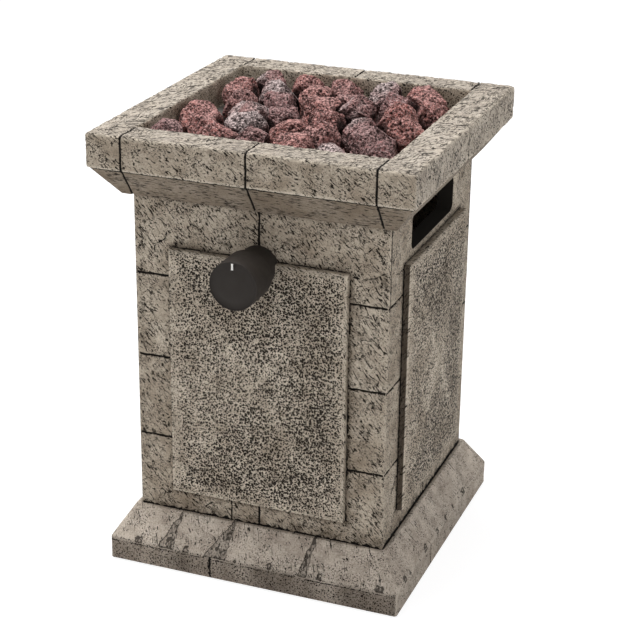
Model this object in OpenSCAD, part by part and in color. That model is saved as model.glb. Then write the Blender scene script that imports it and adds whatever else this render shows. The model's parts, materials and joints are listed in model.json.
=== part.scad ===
// Tabletop gas fire pit: a square cast-stone pedestal with a lava-rock fire tray,
// a ring burner and a screw-in gas cylinder inside.
// The origin is on the table under the column's centre, and the knob faces -Y.

/* [Top frame] */
// Width and depth of the square top frame
frame_w = 300; // [288:2:320]
// Height of the frame's top face above the table
total_h = 420; // [412:2:440]
// Height of the frame's upright outer face
frame_face_h = 32; // [26:1:36]
// Height of the sloped cove under that face
cove_h = 27; // [22:1:30]
// Width of the cove's lower edge
cove_w = 256; // [252:1:264]
// Width of the square fire opening
opening_w = 232; // [226:1:240]
// Depth of the opening down to the ledge that carries the burner pan
ledge_depth = 28; // [24:1:30]
// Width of that ledge
ledge_w = 12; // [10:0.5:13]
// Depth of the socket that the column stands up into
socket_depth = 10; // [6:1:12]

/* [Column] */
// Width and depth of the square column
column_w = 240; // [234:2:244]
// Thickness of the cast walls
wall_t = 16; // [13:0.5:18]
// Radius of the column's upright edges
column_r = 4; // [2:0.5:8]
// Width of the raised panel on each side
panel_w = 168; // [150:2:180]
// Height from the plinth's top edge up to the raised panel
panel_foot = 22.5; // [18:0.5:48]
// How far the panel's edge stands out from the column
panel_rise = 7; // [4:0.5:10]
// Further rise of the panel's four facets at their meeting point
panel_crown = 5; // [2:0.5:8]

/* [Hand slots] */
// Length of the hand slot in each side wall
slot_w = 122; // [100:2:140]
// Height of the hand slot
slot_h = 34; // [26:1:36]
// Corner radius of the hand slot
slot_r = 8; // [4:0.5:12]
// Wall left between the slot and the cove above it
slot_head = 7; // [4:0.5:10]
// Height from the panel's top edge to the slot
slot_sill = 5.5; // [4:0.5:8]

/* [Plinth] */
// Width and depth of the plinth
plinth_w = 285; // [276:1:296]
// Height of the plinth's top edge
plinth_h = 54; // [48:1:60]
// Height of the plinth's upright face above its underside
plinth_face_h = 22.5; // [14:0.5:26]
// Width of the plinth's top edge
plinth_top_w = 248; // [246:1:254]
// Depth of the seat that the column stands down into
plinth_seat = 12; // [8:1:14]
// Height of the ledge that carries the guide plate
guide_z = 34; // [30:1:38]
// Width of that ledge
guide_ledge = 8; // [8:0.5:10]
// Diameter of each rubber foot
foot_d = 22; // [16:1:26]
// Thickness of each rubber foot
foot_t = 3; // [2:0.5:5]
// How far each foot stands out below the plinth
foot_rise = 1.5; // [1:0.25:2]

/* [Stone joints] */
// Width of the joints that divide the casting into blocks
joint_w = 1.6; // [1:0.2:3]
// Depth of those joints
joint_d = 1.5; // [0.5:0.1:2.5]
// Height of the lowest level joint on the column
course_z = 127.5; // [110:0.5:140]
// Height of each course of blocks
course_h = 79.5; // [70:0.5:84]

/* [Burner pan] */
// Thickness of the pan and of the heat shield
sheet_t = 1.2; // [0.8:0.1:1.6]
// Depth of the pan from its flange to its floor
pan_depth = 40; // [36:1:42]
// Radius of the pan's upright corners
pan_r = 12; // [6:1:20]
// Width of the square heat shield under the pan
shield_w = 176; // [160:2:186]
// Height of the posts between the pan and the heat shield
post_h = 20; // [16:1:22]
// Diameter of those posts
post_d = 8; // [7:0.5:10]

/* [Burner] */
// Diameter of the burner ring along its centre line
ring_d = 96; // [84:1:100]
// Diameter of the burner's tube
tube_d = 12; // [10:0.5:13]
// Number of flame ports around the ring
port_count = 24; // [12:1:32]
// Diameter of each flame port
port_d = 2; // [1.5:0.25:3]
// Diameter of the hub in the middle of the ring
hub_d = 26; // [24:1:30]
// Diameter of the threaded spigot under the hub
spigot_d = 20; // [18:0.5:22]
// Length of the mixer tube below the spigot's socket
mixer_l = 37; // [34:1:39]
// Height of the turning air shutter
shutter_h = 14; // [12:1:18]
// Turn of the shutter's windows away from the mixer's, at rest
shutter_turn = 0; // [0:5:20]

/* [Gas control] */
// Diameter of the knob
knob_d = 44; // [40:1:50]
// Length of the knob
knob_l = 34; // [28:1:40]
// Depth of the knob's hollow skirt
knob_skirt = 16; // [14:0.5:18]
// Clear length of the collar between the panel and the knob
collar_show = 17; // [14:0.5:20]
// Diameter of that collar
collar_d = 36; // [32:1:37]
// Height of the knob's axis below the panel's top edge
knob_drop = 4.5; // [2:0.5:12]
// How far the knob pushes in
push_travel = 3; // [2:0.5:3]
// Diameter of the valve's threaded barrel
barrel_d = 16; // [15:0.5:18]
// Diameter of the control stem
stem_d = 6; // [5:0.5:7]
// Diameter of the turning valve plug
plug_d = 14; // [12:0.5:15]
// Width and height of the valve block
valve_w = 30; // [28:1:34]

/* [Gas cylinder] */
// Diameter of the gas cylinder
cylinder_d = 100; // [96:1:102]
// Height of the cylinder's foot ring above the table
cylinder_rise = 27; // [22:0.5:40]
// Wall thickness of the cylinder
cylinder_t = 1; // [0.8:0.1:1.5]
// Outside diameter of the cylinder's screw neck
neck_d = 25; // [24:0.5:26]
// Length of the screw neck
neck_l = 20; // [16:1:22]
// Distance from the column's centre forward to the cylinder's axis
cylinder_y = 46; // [42:1:48]
// Diameter of the regulator's housing
regulator_d = 54; // [50:1:60]

/* [Lava rock] */
// Spacing of the rocks
rock_pitch = 39; // [36:1:44]
// Number of rings of points on each rock
rock_rings = 6; // [4:1:7]
// Number of points in each ring
rock_sides = 10; // [7:1:12]
// Number of broken faces on each upper rock
rock_breaks = 7; // [3:1:9]
// Which arrangement of rocks is drawn
rock_seed = 7; // [1:1:60]

/* [Clearances] */
// Gap around the column in the plinth and the top frame
bed_gap = 0.8; // [0.4:0.1:1.2]
// Gap between pieces that are laid in place
seat_gap = 0.3; // [0.2:0.05:0.4]
// Radial gap of a turning or sliding fit
fit_gap = 0.05; // [0.03:0.01:0.1]

/* [Hidden] */
$fn = 64;

eps = 0.01;
through = 2;

// Heights, from the top down
frame_z = total_h - frame_face_h - cove_h;
face_z = total_h - frame_face_h;
ledge_z = total_h - ledge_depth;
column_top = frame_z + socket_depth;
slot_z = frame_z - slot_head - slot_h;
panel_top = slot_z - slot_sill;
panel_z = plinth_h + panel_foot;
panel_h = panel_top - panel_z;
knob_z = panel_top - knob_drop;
column_z = plinth_h - plinth_seat;

// Distances forward of the column's centre
inner = column_w / 2 - wall_t;
throat = opening_w / 2 - ledge_w;
column_f = column_w / 2;
panel_f = column_f + panel_rise;
knob_back = panel_f + collar_show;
knob_face = knob_back + knob_l;

// Burner pan and what hangs from it
pan_w = 2 * (min(inner, throat) - 3);
flange_w = opening_w - 4;
pan_top = ledge_z + sheet_t;
pan_floor = pan_top - pan_depth;
pan_under = pan_floor - sheet_t;
pan_screw_at = opening_w / 2 - ledge_w / 2;
pan_screw_d = 4;
pan_screw_l = 11;
shield_screw_l = 10;
bracket_screw_l = 12;
shield_z = pan_under - post_h - sheet_t;
post_at = shield_w / 2 - 16;
burner_top = pan_floor + tube_d + 4;
ring_z = burner_top - tube_d / 2 - 0.5;
spigot_l = 20;
spigot_z = pan_floor - spigot_l;
socket_l = 12;
burner_nut_h = 6;
mixer_d = spigot_d;
mixer_bore = mixer_d - 6;
mixer_socket_z = spigot_z - 1;
mixer_z = mixer_socket_z - mixer_l;
mixer_flange_h = 3;
shutter_z = mixer_z + mixer_flange_h + seat_gap;
window_z = shutter_z + shutter_h / 2;
window_d = 8;
jet_d = 8;
jet_hex_h = 7;
elbow_w = 14;
elbow_top = mixer_z - jet_hex_h;
elbow_z = elbow_top - elbow_w / 2;

// Igniter and thermocouple, which stand between the rocks behind the valve
sensor_x = 1.5 * rock_pitch;
sensor_y = -0.5 * rock_pitch;
sensor_d = 6;
sensor_collar_d = 12;
sensor_collar_h = 3;
sensor_low = shield_z - 14;
sensor_top = burner_top + 2;
tip_top = sensor_top + 5;
wire_d = 2.4;

// Gas control, as distances forward of the column's centre
bracket_t = 2;
block_front = inner - bracket_t;
block_back = cylinder_y - 10;
plug_back = block_front - 34;
plug_front = block_front - 10;
plug_port = (plug_back + plug_front) / 2 - 7;
bonnet_seat_d = 22;
bonnet_front = column_f + 11;
cavity_d = 12.4;
lip_back = block_front + 10;
stem_collar_t = 1.5;
stem_back = plug_front - 11;
stem_front = knob_face - 8;
flat_at = stem_d / 2 - 1;
collar_plate = 2;
collar_front = knob_back + 6;
nut_h = 5;
outlet_l = 6;
outlet_d = 14;
pipe_d = 8;
bracket_w = 100;
bracket_h = 66;
wall_hole_d = barrel_d + 4;
spring_wire = 1.2;
spring_turns = 5;

// Regulator and cylinder, as heights
reg_top = knob_z - valve_w / 2 - 7;
reg_cap_h = 13;
diaphragm_t = 1;
reg_base_h = 8;
reg_split = reg_top - reg_cap_h;
reg_disc_z = reg_split - diaphragm_t - reg_base_h;
reg_neck_h = 30;
reg_neck_d = neck_d + 11;
socket_z = reg_disc_z - reg_neck_h;
thread_depth = neck_l;
neck_top = socket_z + neck_l - 4;
shoulder_z = neck_top - neck_l;
cylinder_z = cylinder_rise;
shoulder_h = 22;
foot_ring_h = 6;

// Guide plate and its screws
guide_t = 2;
guide_back = 20;
guide_screw_l = guide_t + plinth_h - plinth_seat - guide_z - 1;

// Rocks
rock_floor_r = rock_pitch * 0.52;
rock_gap = 0.25;

stone = [0.66, 0.62, 0.55];
steel = [0.55, 0.56, 0.58];
dark_steel = [0.3, 0.3, 0.31];
brass = [0.74, 0.6, 0.32];
black = [0.1, 0.1, 0.1];

// ---- Shared shapes ----

// A square with round corners, centred
module rounded_square(w, r) {
    square([w, w - 2 * r], center = true);
    square([w - 2 * r, w], center = true);
    for (sx = [-1, 1], sy = [-1, 1])
        translate([sx * (w / 2 - r), sy * (w / 2 - r)]) circle(r);
}

// A square slab between two heights
module slab(w, low, high) {
    translate([-w / 2, -w / 2, low]) cube([w, w, high - low]);
}

// A square block that narrows or widens evenly
module taper(low_w, high_w, low, high) {
    translate([0, 0, low])
        linear_extrude(height = high - low, scale = high_w / low_w) square(low_w, center = true);
}

// Children stand on the knob's axis, with +Z pointing out of the front
module on_knob_axis() {
    translate([0, 0, knob_z]) rotate([90, 0, 0]) children();
}

module at_corners(d) {
    for (sx = [-1, 1], sy = [-1, 1]) translate([sx * d, sy * d, 0]) children();
}

// A disc or tube between two heights
module round_bar(d, low, high) {
    translate([0, 0, low]) cylinder(d = d, h = high - low);
}

module tube(d, bore, low, high) {
    difference() {
        round_bar(d, low, high);
        round_bar(bore, low - through, high + through);
    }
}

module hex_bar(flats, low, high) {
    translate([0, 0, low]) cylinder(d = flats / cos(30), h = high - low, $fn = 6);
}

// A pan-head screw with its head's underside at height 0 and its shank pointing up
function head_h(d) = 0.6 * d;
module screw(d, l) {
    translate([0, 0, -head_h(d)]) cylinder(d = 1.9 * d, h = head_h(d));
    translate([0, 0, -eps]) cylinder(d = d, h = l + eps);
}

// A round bar with a flat, as a stem or as the hole for it
module d_bar(d, flat, low, high) {
    difference() {
        round_bar(d, low, high);
        translate([-d, flat, low - through]) cube([2 * d, d, high - low + 2 * through]);
    }
}

function unit(v) = v / norm(v);
function bezier(p, t) =
    pow(1 - t, 3) * p[0] + 3 * pow(1 - t, 2) * t * p[1] + 3 * (1 - t) * t * t * p[2] + pow(t, 3) * p[3];

// Points along a smooth route from p[0] to p[3], which leaves and arrives square to what it meets
function lead_route(p, steps) = let (
    stub = 1.5,
    from = p[0] + stub * unit(p[1] - p[0]),
    to = p[3] + stub * unit(p[2] - p[3])
) concat([p[0]], [for (i = [0:steps]) bezier([from, p[1], p[2], to], i / steps)], [p[3]]);

// A round tube swept along a route; side is any direction that the route never runs in
module sweep(route, d, sides, side) {
    last = len(route) - 1;
    rings = [for (i = [0:last])
        let (
            along = unit(route[min(i + 1, last)] - route[max(i - 1, 0)]),
            u = unit(cross(along, side)),
            v = cross(along, u)
        )
        for (k = [0:sides - 1])
            route[i] + d / 2 * (cos(360 * k / sides) * u + sin(360 * k / sides) * v)];
    walls = [for (i = [0:last - 1], k = [0:sides - 1])
        let (
            a = i * sides + k,
            b = i * sides + (k + 1) % sides
        )
        each [[a, a + sides, b], [b, a + sides, b + sides]]];
    ends = [
        [for (k = [0:sides - 1]) k],
        [for (k = [sides - 1:-1:0]) last * sides + k]
    ];
    polyhedron(rings, concat(walls, ends));
}

// ---- Cast stone ----

// Outline of one side of the top frame, from the opening's edge outward, set in by cut
function frame_side(cut) = [
    [opening_w / 2 + 1, total_h - cut],
    [frame_w / 2 - cut, total_h - cut],
    [frame_w / 2 - cut, face_z],
    [cove_w / 2 - cut, frame_z - through],
    [opening_w / 2 + 1, frame_z - through]
];

// Cuts one joint across the side of the top frame that faces -Y
module frame_joint(x) {
    translate([x - joint_w / 2, 0, 0])
        rotate([0, 0, -90]) rotate([90, 0, 0])
            linear_extrude(height = joint_w) difference() {
                translate([opening_w / 2 - through, frame_z])
                    square([frame_w, frame_face_h + cove_h + through]);
                polygon(frame_side(joint_d));
            }
}

module top_frame() {
    color(stone) difference() {
        union() {
            slab(frame_w, face_z, total_h);
            taper(cove_w, frame_w - 3, frame_z, face_z + eps);
        }
        slab(opening_w, ledge_z, total_h + through);
        slab(2 * throat, column_top - through, total_h);
        slab(column_w + 2 * bed_gap, frame_z - through, column_top);
        for (turn = [0, 180]) rotate([0, 0, turn])
            for (x = [-opening_w / 2, 0, opening_w / 2]) frame_joint(x);
        for (turn = [90, 270]) rotate([0, 0, turn]) frame_joint(0);
        at_corners(pan_screw_at) round_bar(pan_screw_d, ledge_z - pan_screw_l - 1, ledge_z + through);
    }
}

// The raised panel on the side that faces -Y
module panel() {
    base = 1;
    x = panel_w / 2;
    translate([-x, -panel_f, panel_z]) cube([panel_w, panel_rise + base, panel_h]);
    polyhedron(
        [
            [-x, -panel_f + base, panel_z], [x, -panel_f + base, panel_z],
            [x, -panel_f + base, panel_top], [-x, -panel_f + base, panel_top],
            [-x, -panel_f, panel_z], [x, -panel_f, panel_z],
            [x, -panel_f, panel_top], [-x, -panel_f, panel_top],
            [0, -panel_f - panel_crown, (panel_z + panel_top) / 2]
        ],
        [
            [0, 1, 2, 3], [4, 5, 1, 0], [5, 6, 2, 1], [6, 7, 3, 2], [7, 4, 0, 3],
            [8, 5, 4], [8, 6, 5], [8, 7, 6], [8, 4, 7]
        ]
    );
}

// The level joints run round the column behind the panels
module course_joints() {
    for (i = [0:2])
        translate([0, 0, course_z + i * course_h - joint_w / 2])
            linear_extrude(height = joint_w) difference() {
                square(column_w + 2 * through, center = true);
                rounded_square(column_w - 2 * joint_d, column_r);
            }
}

// Upright joints above and below the panel on the side that faces -Y
module upright_joints(xs, low, high) {
    for (x = xs)
        translate([x - joint_w / 2, -column_f - through, low])
            cube([joint_w, through + joint_d, high - low]);
}

module hand_slot() {
    y = slot_w / 2 - slot_r;
    z = slot_h / 2 - slot_r;
    translate([0, 0, slot_z + slot_h / 2]) rotate([0, 90, 0]) {
        translate([-slot_h / 2, -y, 0]) cube([slot_h, 2 * y, column_w]);
        translate([-z, -slot_w / 2, 0]) cube([2 * z, slot_w, column_w]);
        for (sy = [-1, 1], sz = [-1, 1])
            translate([sz * z, sy * y, 0]) cylinder(r = slot_r, h = column_w);
    }
}

module column() {
    low_joint = 27.5;
    color(stone) difference() {
        union() {
            difference() {
                translate([0, 0, column_z])
                    linear_extrude(height = column_top - column_z) rounded_square(column_w, column_r);
                course_joints();
                for (turn = [0, 180]) rotate([0, 0, turn])
                    upright_joints([0], panel_top, frame_z);
                for (turn = [0:90:270]) rotate([0, 0, turn])
                    upright_joints([-low_joint, 0], plinth_h, panel_z);
            }
            for (turn = [0:90:270]) rotate([0, 0, turn]) panel();
        }
        slab(2 * inner, column_z - through, column_top + through);
        for (turn = [0, 180]) rotate([0, 0, turn]) hand_slot();
        on_knob_axis() {
            round_bar(wall_hole_d, inner - through, column_w);
            round_bar(collar_d + 2 * bed_gap, column_f, column_w);
            bracket_screw_places()
                round_bar(pan_screw_d, inner - through, block_front + bracket_screw_l + 1);
        }
    }
}

module plinth() {
    foot_joint = 40.5;
    color(stone) difference() {
        union() {
            slab(plinth_w, foot_rise, foot_rise + plinth_face_h);
            taper(plinth_w, plinth_top_w, foot_rise + plinth_face_h - eps, plinth_h);
        }
        slab(2 * inner, guide_z - through, plinth_h);
        slab(2 * (inner + guide_ledge), foot_rise - through, guide_z);
        slab(column_w + 2 * bed_gap, column_z, plinth_h + through);
        for (turn = [0:90:270]) rotate([0, 0, turn])
            translate([-foot_joint - joint_w / 2, -plinth_w / 2 - through, foot_rise - through])
                cube([joint_w, through + joint_d, plinth_face_h + through]);
        at_corners(foot_at()) round_bar(foot_d + 2 * seat_gap, foot_rise - through, foot_t);
        guide_screw_places() round_bar(pan_screw_d, guide_z - through, column_z - 0.5);
    }
}

function foot_at() = (plinth_w / 2 + inner + guide_ledge) / 2;

module rubber_feet() {
    color(black) at_corners(foot_at()) round_bar(foot_d, 0, foot_t);
}

// ---- Guide plate for the gas cylinder ----

module guide_screw_places() {
    x = inner + guide_ledge / 2;
    for (sx = [-1, 1], y = [-cylinder_y - 50, guide_back - 10]) translate([sx * x, y, 0]) children();
}

module guide_plate() {
    half = inner + guide_ledge - seat_gap;
    color(dark_steel) difference() {
        translate([-half, -half, guide_z - guide_t]) cube([2 * half, half + guide_back, guide_t]);
        translate([0, -cylinder_y, 0])
            round_bar(cylinder_d + 6, guide_z - guide_t - through, guide_z + through);
        guide_screw_places() round_bar(pan_screw_d + 0.4, guide_z - 2 * guide_t, guide_z + through);
    }
}

module guide_plate_screws() {
    color(steel) guide_screw_places()
        translate([0, 0, guide_z - guide_t]) screw(pan_screw_d - 2 * fit_gap, guide_screw_l);
}

// ---- Burner pan and burner ----

module burner_pan() {
    hole_d = spigot_d + 1;
    color(steel) difference() {
        union() {
            translate([0, 0, ledge_z]) linear_extrude(height = sheet_t) rounded_square(flange_w, 4);
            translate([0, 0, pan_under])
                linear_extrude(height = pan_top - pan_under)
                    rounded_square(pan_w + 2 * sheet_t, pan_r + sheet_t);
        }
        translate([0, 0, pan_floor])
            linear_extrude(height = pan_depth + through) rounded_square(pan_w, pan_r);
        round_bar(hole_d, pan_under - through, pan_top);
        sensor_places() round_bar(sensor_d + 1, pan_under - through, pan_top);
        at_corners(post_at) round_bar(5, pan_under - through, pan_top);
        at_corners(pan_screw_at) round_bar(pan_screw_d + 0.4, ledge_z - through, pan_top + through);
    }
}

module pan_screws() {
    color(steel) at_corners(pan_screw_at)
        translate([0, 0, pan_top]) mirror([0, 0, 1]) screw(pan_screw_d - 2 * fit_gap, pan_screw_l);
}

module burner_ring() {
    wall = 1;
    color(steel) difference() {
        union() {
            translate([0, 0, ring_z]) rotate_extrude($fn = 96) translate([ring_d / 2, 0]) circle(d = tube_d);
            translate([0, 0, ring_z]) rotate([0, 90, 0])
                translate([0, 0, -ring_d / 2]) cylinder(d = tube_d, h = ring_d);
            round_bar(hub_d, pan_floor, burner_top);
            round_bar(spigot_d, spigot_z, pan_floor + eps);
        }
        translate([0, 0, ring_z])
            rotate_extrude($fn = 96) translate([ring_d / 2, 0]) circle(d = tube_d - 2 * wall);
        translate([0, 0, ring_z]) rotate([0, 90, 0])
            translate([0, 0, -ring_d / 2]) cylinder(d = tube_d - 2 * wall, h = ring_d);
        round_bar(mixer_bore, spigot_z - through, burner_top - 2);
        for (i = [0:port_count - 1]) rotate([0, 0, 360 * (i + 0.5) / port_count])
            translate([ring_d / 2, 0, ring_z]) cylinder(d = port_d, h = tube_d);
    }
}

module burner_nut() {
    color(brass) difference() {
        hex_bar(30, pan_under - burner_nut_h, pan_under);
        round_bar(spigot_d + 2 * fit_gap, 0, pan_top);
    }
}

module mixer_tube() {
    color(brass) difference() {
        union() {
            round_bar(spigot_d + 6, mixer_socket_z - 2, spigot_z + socket_l);
            round_bar(mixer_d, mixer_z, mixer_socket_z);
            round_bar(mixer_d + 6, mixer_z, mixer_z + mixer_flange_h);
        }
        round_bar(spigot_d + 2 * fit_gap, spigot_z - seat_gap, pan_top);
        round_bar(mixer_bore, mixer_z + 5, pan_top);
        round_bar(jet_d, mixer_z - through, mixer_z + 5 + through);
        translate([0, 0, window_z]) rotate([90, 0, 0])
            translate([0, 0, -mixer_d]) cylinder(d = window_d, h = 2 * mixer_d);
    }
}

module air_shutter() {
    bore = mixer_d + 2 * fit_gap;
    color(steel) difference() {
        union() {
            round_bar(mixer_d + 3, shutter_z, shutter_z + shutter_h);
            translate([0, -1, shutter_z + 3]) cube([mixer_d / 2 + 9, 2, shutter_h - 6]);
        }
        round_bar(bore, shutter_z - through, shutter_z + shutter_h + through);
        translate([0, 0, window_z]) rotate([0, 0, shutter_turn]) rotate([90, 0, 0])
            translate([0, 0, -mixer_d]) cylinder(d = window_d, h = 2 * mixer_d);
    }
}

module gas_jet() {
    color(brass) difference() {
        union() {
            round_bar(jet_d - 2 * fit_gap, elbow_top, mixer_z + 7);
            round_bar(4, elbow_top, mixer_z + 11);
            hex_bar(12, elbow_top, mixer_z);
        }
        round_bar(2, elbow_top - through, mixer_z + 9);
        round_bar(0.8, mixer_z, mixer_z + 11 + through);
    }
}

module jet_elbow() {
    half = elbow_w / 2;
    color(brass) difference() {
        union() {
            slab(elbow_w, elbow_z - half, elbow_top);
            translate([0, 0, elbow_z]) rotate([0, 90, 0]) cylinder(d = outlet_d - 2, h = half + outlet_l);
        }
        round_bar(2, elbow_z, elbow_top + through);
        translate([0, 0, elbow_z]) rotate([0, 90, 0]) cylinder(d = 4, h = half + outlet_l + through);
    }
}

// ---- Heat shield ----

module heat_shield() {
    color(steel) difference() {
        translate([0, 0, shield_z]) linear_extrude(height = sheet_t) rounded_square(shield_w, 6);
        round_bar(spigot_d + 14, shield_z - through, shield_z + post_h);
        sensor_places() round_bar(sensor_d + 3, shield_z - through, shield_z + post_h);
        at_corners(post_at) round_bar(4.4, shield_z - through, shield_z + post_h);
    }
}

module shield_posts() {
    color(steel) at_corners(post_at) difference() {
        union() {
            round_bar(post_d, shield_z + sheet_t, pan_under);
            round_bar(5 - 2 * fit_gap, pan_under - eps, pan_floor);
        }
        round_bar(pan_screw_d, shield_z, shield_z + shield_screw_l + 4);
    }
}

module shield_screws() {
    color(steel) at_corners(post_at)
        translate([0, 0, shield_z]) screw(pan_screw_d - 2 * fit_gap, shield_screw_l);
}

// ---- Igniter and thermocouple ----

module sensor_places() {
    for (sx = [-1, 1]) translate([sx * sensor_x, sensor_y, 0]) children();
}

module igniter_insulator() {
    color("white") translate([-sensor_x, sensor_y, 0]) difference() {
        union() {
            round_bar(sensor_d, sensor_low, sensor_top);
            round_bar(sensor_collar_d, pan_floor, pan_floor + sensor_collar_h);
        }
        round_bar(2 + 2 * fit_gap, sensor_top - 12, sensor_top + through);
    }
}

module igniter_tip() {
    color(steel) translate([-sensor_x, sensor_y, 0]) round_bar(2, sensor_top - 11, tip_top);
}

module thermocouple() {
    color(brass) translate([sensor_x, sensor_y, 0]) {
        round_bar(sensor_d, sensor_low, sensor_top);
        round_bar(sensor_collar_d, pan_floor, pan_floor + sensor_collar_h);
    }
}

module piezo_unit() {
    x = valve_w / 2;
    color(black) translate([-x - 16, -plug_front, knob_z - 10]) cube([16, 24, 20]);
}

module igniter_lead() {
    start = [-valve_w / 2 - 16, -plug_front + 12, knob_z];
    finish = [-sensor_x, sensor_y, sensor_low];
    bends = [start, start + [-34, 0, 0], finish + [0, 0, -26], finish];
    color("firebrick") sweep(lead_route(bends, 18), wire_d, 8, [0.3, 1, 0]);
}

module thermocouple_lead() {
    start = [valve_w / 2, -block_back - 10, knob_z - 6];
    finish = [sensor_x, sensor_y, sensor_low];
    bends = [start, start + [30, 0, 0], finish + [0, 0, -26], finish];
    color(brass) sweep(lead_route(bends, 18), wire_d, 8, [0.3, 1, 0]);
}

// ---- Gas pipe ----

pipe_start = [valve_w / 2 + outlet_l, -plug_port, knob_z];
pipe_finish = [elbow_w / 2 + outlet_l, 0, elbow_z];

module gas_pipe() {
    reach = [66, 0, 0];
    bends = [pipe_start, pipe_start + reach, pipe_finish + reach, pipe_finish];
    color(steel) sweep(lead_route(bends, 24), pipe_d, 12, [0, 0, 1]);
}

// Union nuts, each round the boss that the pipe meets
module pipe_nuts() {
    color(brass) {
        translate(pipe_start - [outlet_l - seat_gap, 0, 0]) rotate([0, 90, 0]) difference() {
            hex_bar(18, 0, outlet_l - seat_gap);
            round_bar(outlet_d + 2 * fit_gap, -through, outlet_l + through);
        }
        translate(pipe_finish - [outlet_l - seat_gap, 0, 0]) rotate([0, 90, 0]) difference() {
            hex_bar(16, 0, outlet_l - seat_gap);
            round_bar(outlet_d - 2 + 2 * fit_gap, -through, outlet_l + through);
        }
    }
}

// ---- Gas control ----

module bracket_screw_places() {
    for (sx = [-1, 1], sy = [-1, 1])
        translate([sx * (bracket_w / 2 - 9), sy * (bracket_h / 2 - 8), 0]) children();
}

module valve_bracket() {
    color(dark_steel) on_knob_axis() difference() {
        translate([-bracket_w / 2, -bracket_h / 2, block_front]) cube([bracket_w, bracket_h, bracket_t]);
        round_bar(barrel_d + 0.4, block_front - through, inner + through);
        bracket_screw_places() round_bar(pan_screw_d + 0.4, block_front - through, inner + through);
    }
}

module bracket_screws() {
    color(steel) on_knob_axis() bracket_screw_places()
        translate([0, 0, block_front]) screw(pan_screw_d - 2 * fit_gap, bracket_screw_l);
}

module valve_block() {
    half = valve_w / 2;
    color(steel) difference() {
        union() {
            translate([-half, -block_front, knob_z - half])
                cube([valve_w, block_front - block_back, valve_w]);
            translate([-10, -cylinder_y - 10, reg_top]) cube([20, 20, knob_z - half - reg_top + eps]);
            translate([half - eps, -plug_port, knob_z]) rotate([0, 90, 0])
                cylinder(d = outlet_d, h = outlet_l + eps);
        }
        on_knob_axis() {
            round_bar(plug_d + 2 * fit_gap, plug_back, block_front);
            round_bar(bonnet_seat_d + 2 * fit_gap, plug_front, block_front + through);
            round_bar(6, cylinder_y - 3, plug_back + eps);
        }
        translate([0, -cylinder_y, reg_top - through]) cylinder(d = 6, h = knob_z - reg_top + through);
        translate([0, -plug_port, knob_z]) rotate([0, 90, 0]) cylinder(d = 4, h = valve_w);
    }
}

// The threaded barrel that the stem comes out of
module valve_bonnet() {
    color(brass) on_knob_axis() difference() {
        union() {
            round_bar(bonnet_seat_d, plug_front + seat_gap, block_front);
            round_bar(barrel_d, block_front - eps, bonnet_front);
        }
        round_bar(cavity_d, plug_front, lip_back);
        round_bar(stem_d + 1, lip_back - eps, bonnet_front + through);
    }
}

module bonnet_nut() {
    color(brass) on_knob_axis() difference() {
        hex_bar(24, column_f + collar_plate, column_f + collar_plate + nut_h);
        round_bar(barrel_d + 2 * fit_gap, column_f, bonnet_front + through);
    }
}

module valve_plug() {
    color(brass) on_knob_axis() difference() {
        round_bar(plug_d, plug_back + seat_gap, plug_front - seat_gap);
        d_bar(stem_d + 0.3, flat_at + 0.15, stem_back - push_travel - 1, plug_front + through);
        translate([0, 0, plug_port]) rotate([0, 90, 0]) cylinder(d = 4, h = plug_d);
        round_bar(6, plug_back, plug_port);
    }
}

module control_stem() {
    collar_z = lip_back - seat_gap - stem_collar_t;
    color(steel) on_knob_axis() {
        d_bar(stem_d, flat_at, stem_back, stem_front);
        round_bar(cavity_d - 0.8, collar_z, collar_z + stem_collar_t);
    }
}

module stem_spring() {
    low = plug_front + seat_gap + spring_wire / 2;
    high = lip_back - 2 * seat_gap - stem_collar_t - spring_wire / 2;
    r = (cavity_d - 1 - spring_wire) / 2;
    steps = 14 * spring_turns;
    turns = [for (i = [0:steps])
        let (a = 360 * spring_turns * i / steps)
        [r * cos(a), r * sin(a), low + (high - low) * i / steps]];
    echo(spring_gap = (high - low) / spring_turns - spring_wire);
    color(steel) on_knob_axis() sweep(turns, spring_wire, 6, [0, 0, 1]);
}

module knob_collar() {
    wall = 2.5;
    color(black) on_knob_axis() difference() {
        round_bar(collar_d, column_f, collar_front);
        round_bar(collar_d - 2 * wall, column_f + collar_plate, collar_front + through);
        round_bar(barrel_d + 0.4, column_f - through, collar_front);
    }
}

module knob() {
    edge = 1.5;
    r = knob_d / 2;
    arc = [for (i = [0:6]) [r - edge + edge * cos(15 * i), knob_face - edge + edge * sin(15 * i)]];
    side = concat([[0, knob_back], [r, knob_back]], arc, [[0, knob_face]]);
    color(black) on_knob_axis() difference() {
        union() {
            difference() {
                rotate_extrude($fn = 96) polygon(side);
                round_bar(knob_d - 5, knob_back - through, knob_back + knob_skirt);
            }
            round_bar(stem_d + 7, knob_back + 3, knob_back + knob_skirt + eps);
        }
        d_bar(stem_d + 2 * fit_gap, flat_at + fit_gap, knob_back, stem_front + seat_gap);
        pointer_slot(0.1, knob_face - 0.6, knob_face + through);
    }
}

// The mark that shows where the knob points
module pointer_slot(gap, low, high) {
    w = 1.6 + 2 * gap;
    l = 5.5 + 2 * gap;
    translate([-w / 2, knob_d / 2 - 1.2 - 5.5 - gap, low]) cube([w, l, high - low]);
}

module knob_pointer() {
    color("white") on_knob_axis() pointer_slot(0, knob_face - 0.6, knob_face + 0.1);
}

// ---- Regulator and gas cylinder ----

module at_cylinder() {
    translate([0, -cylinder_y, 0]) children();
}

module regulator_screw_places() {
    for (i = [0:5]) rotate([0, 0, 60 * i + 30]) translate([regulator_d / 2 - 3, 0, 0]) children();
}

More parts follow.
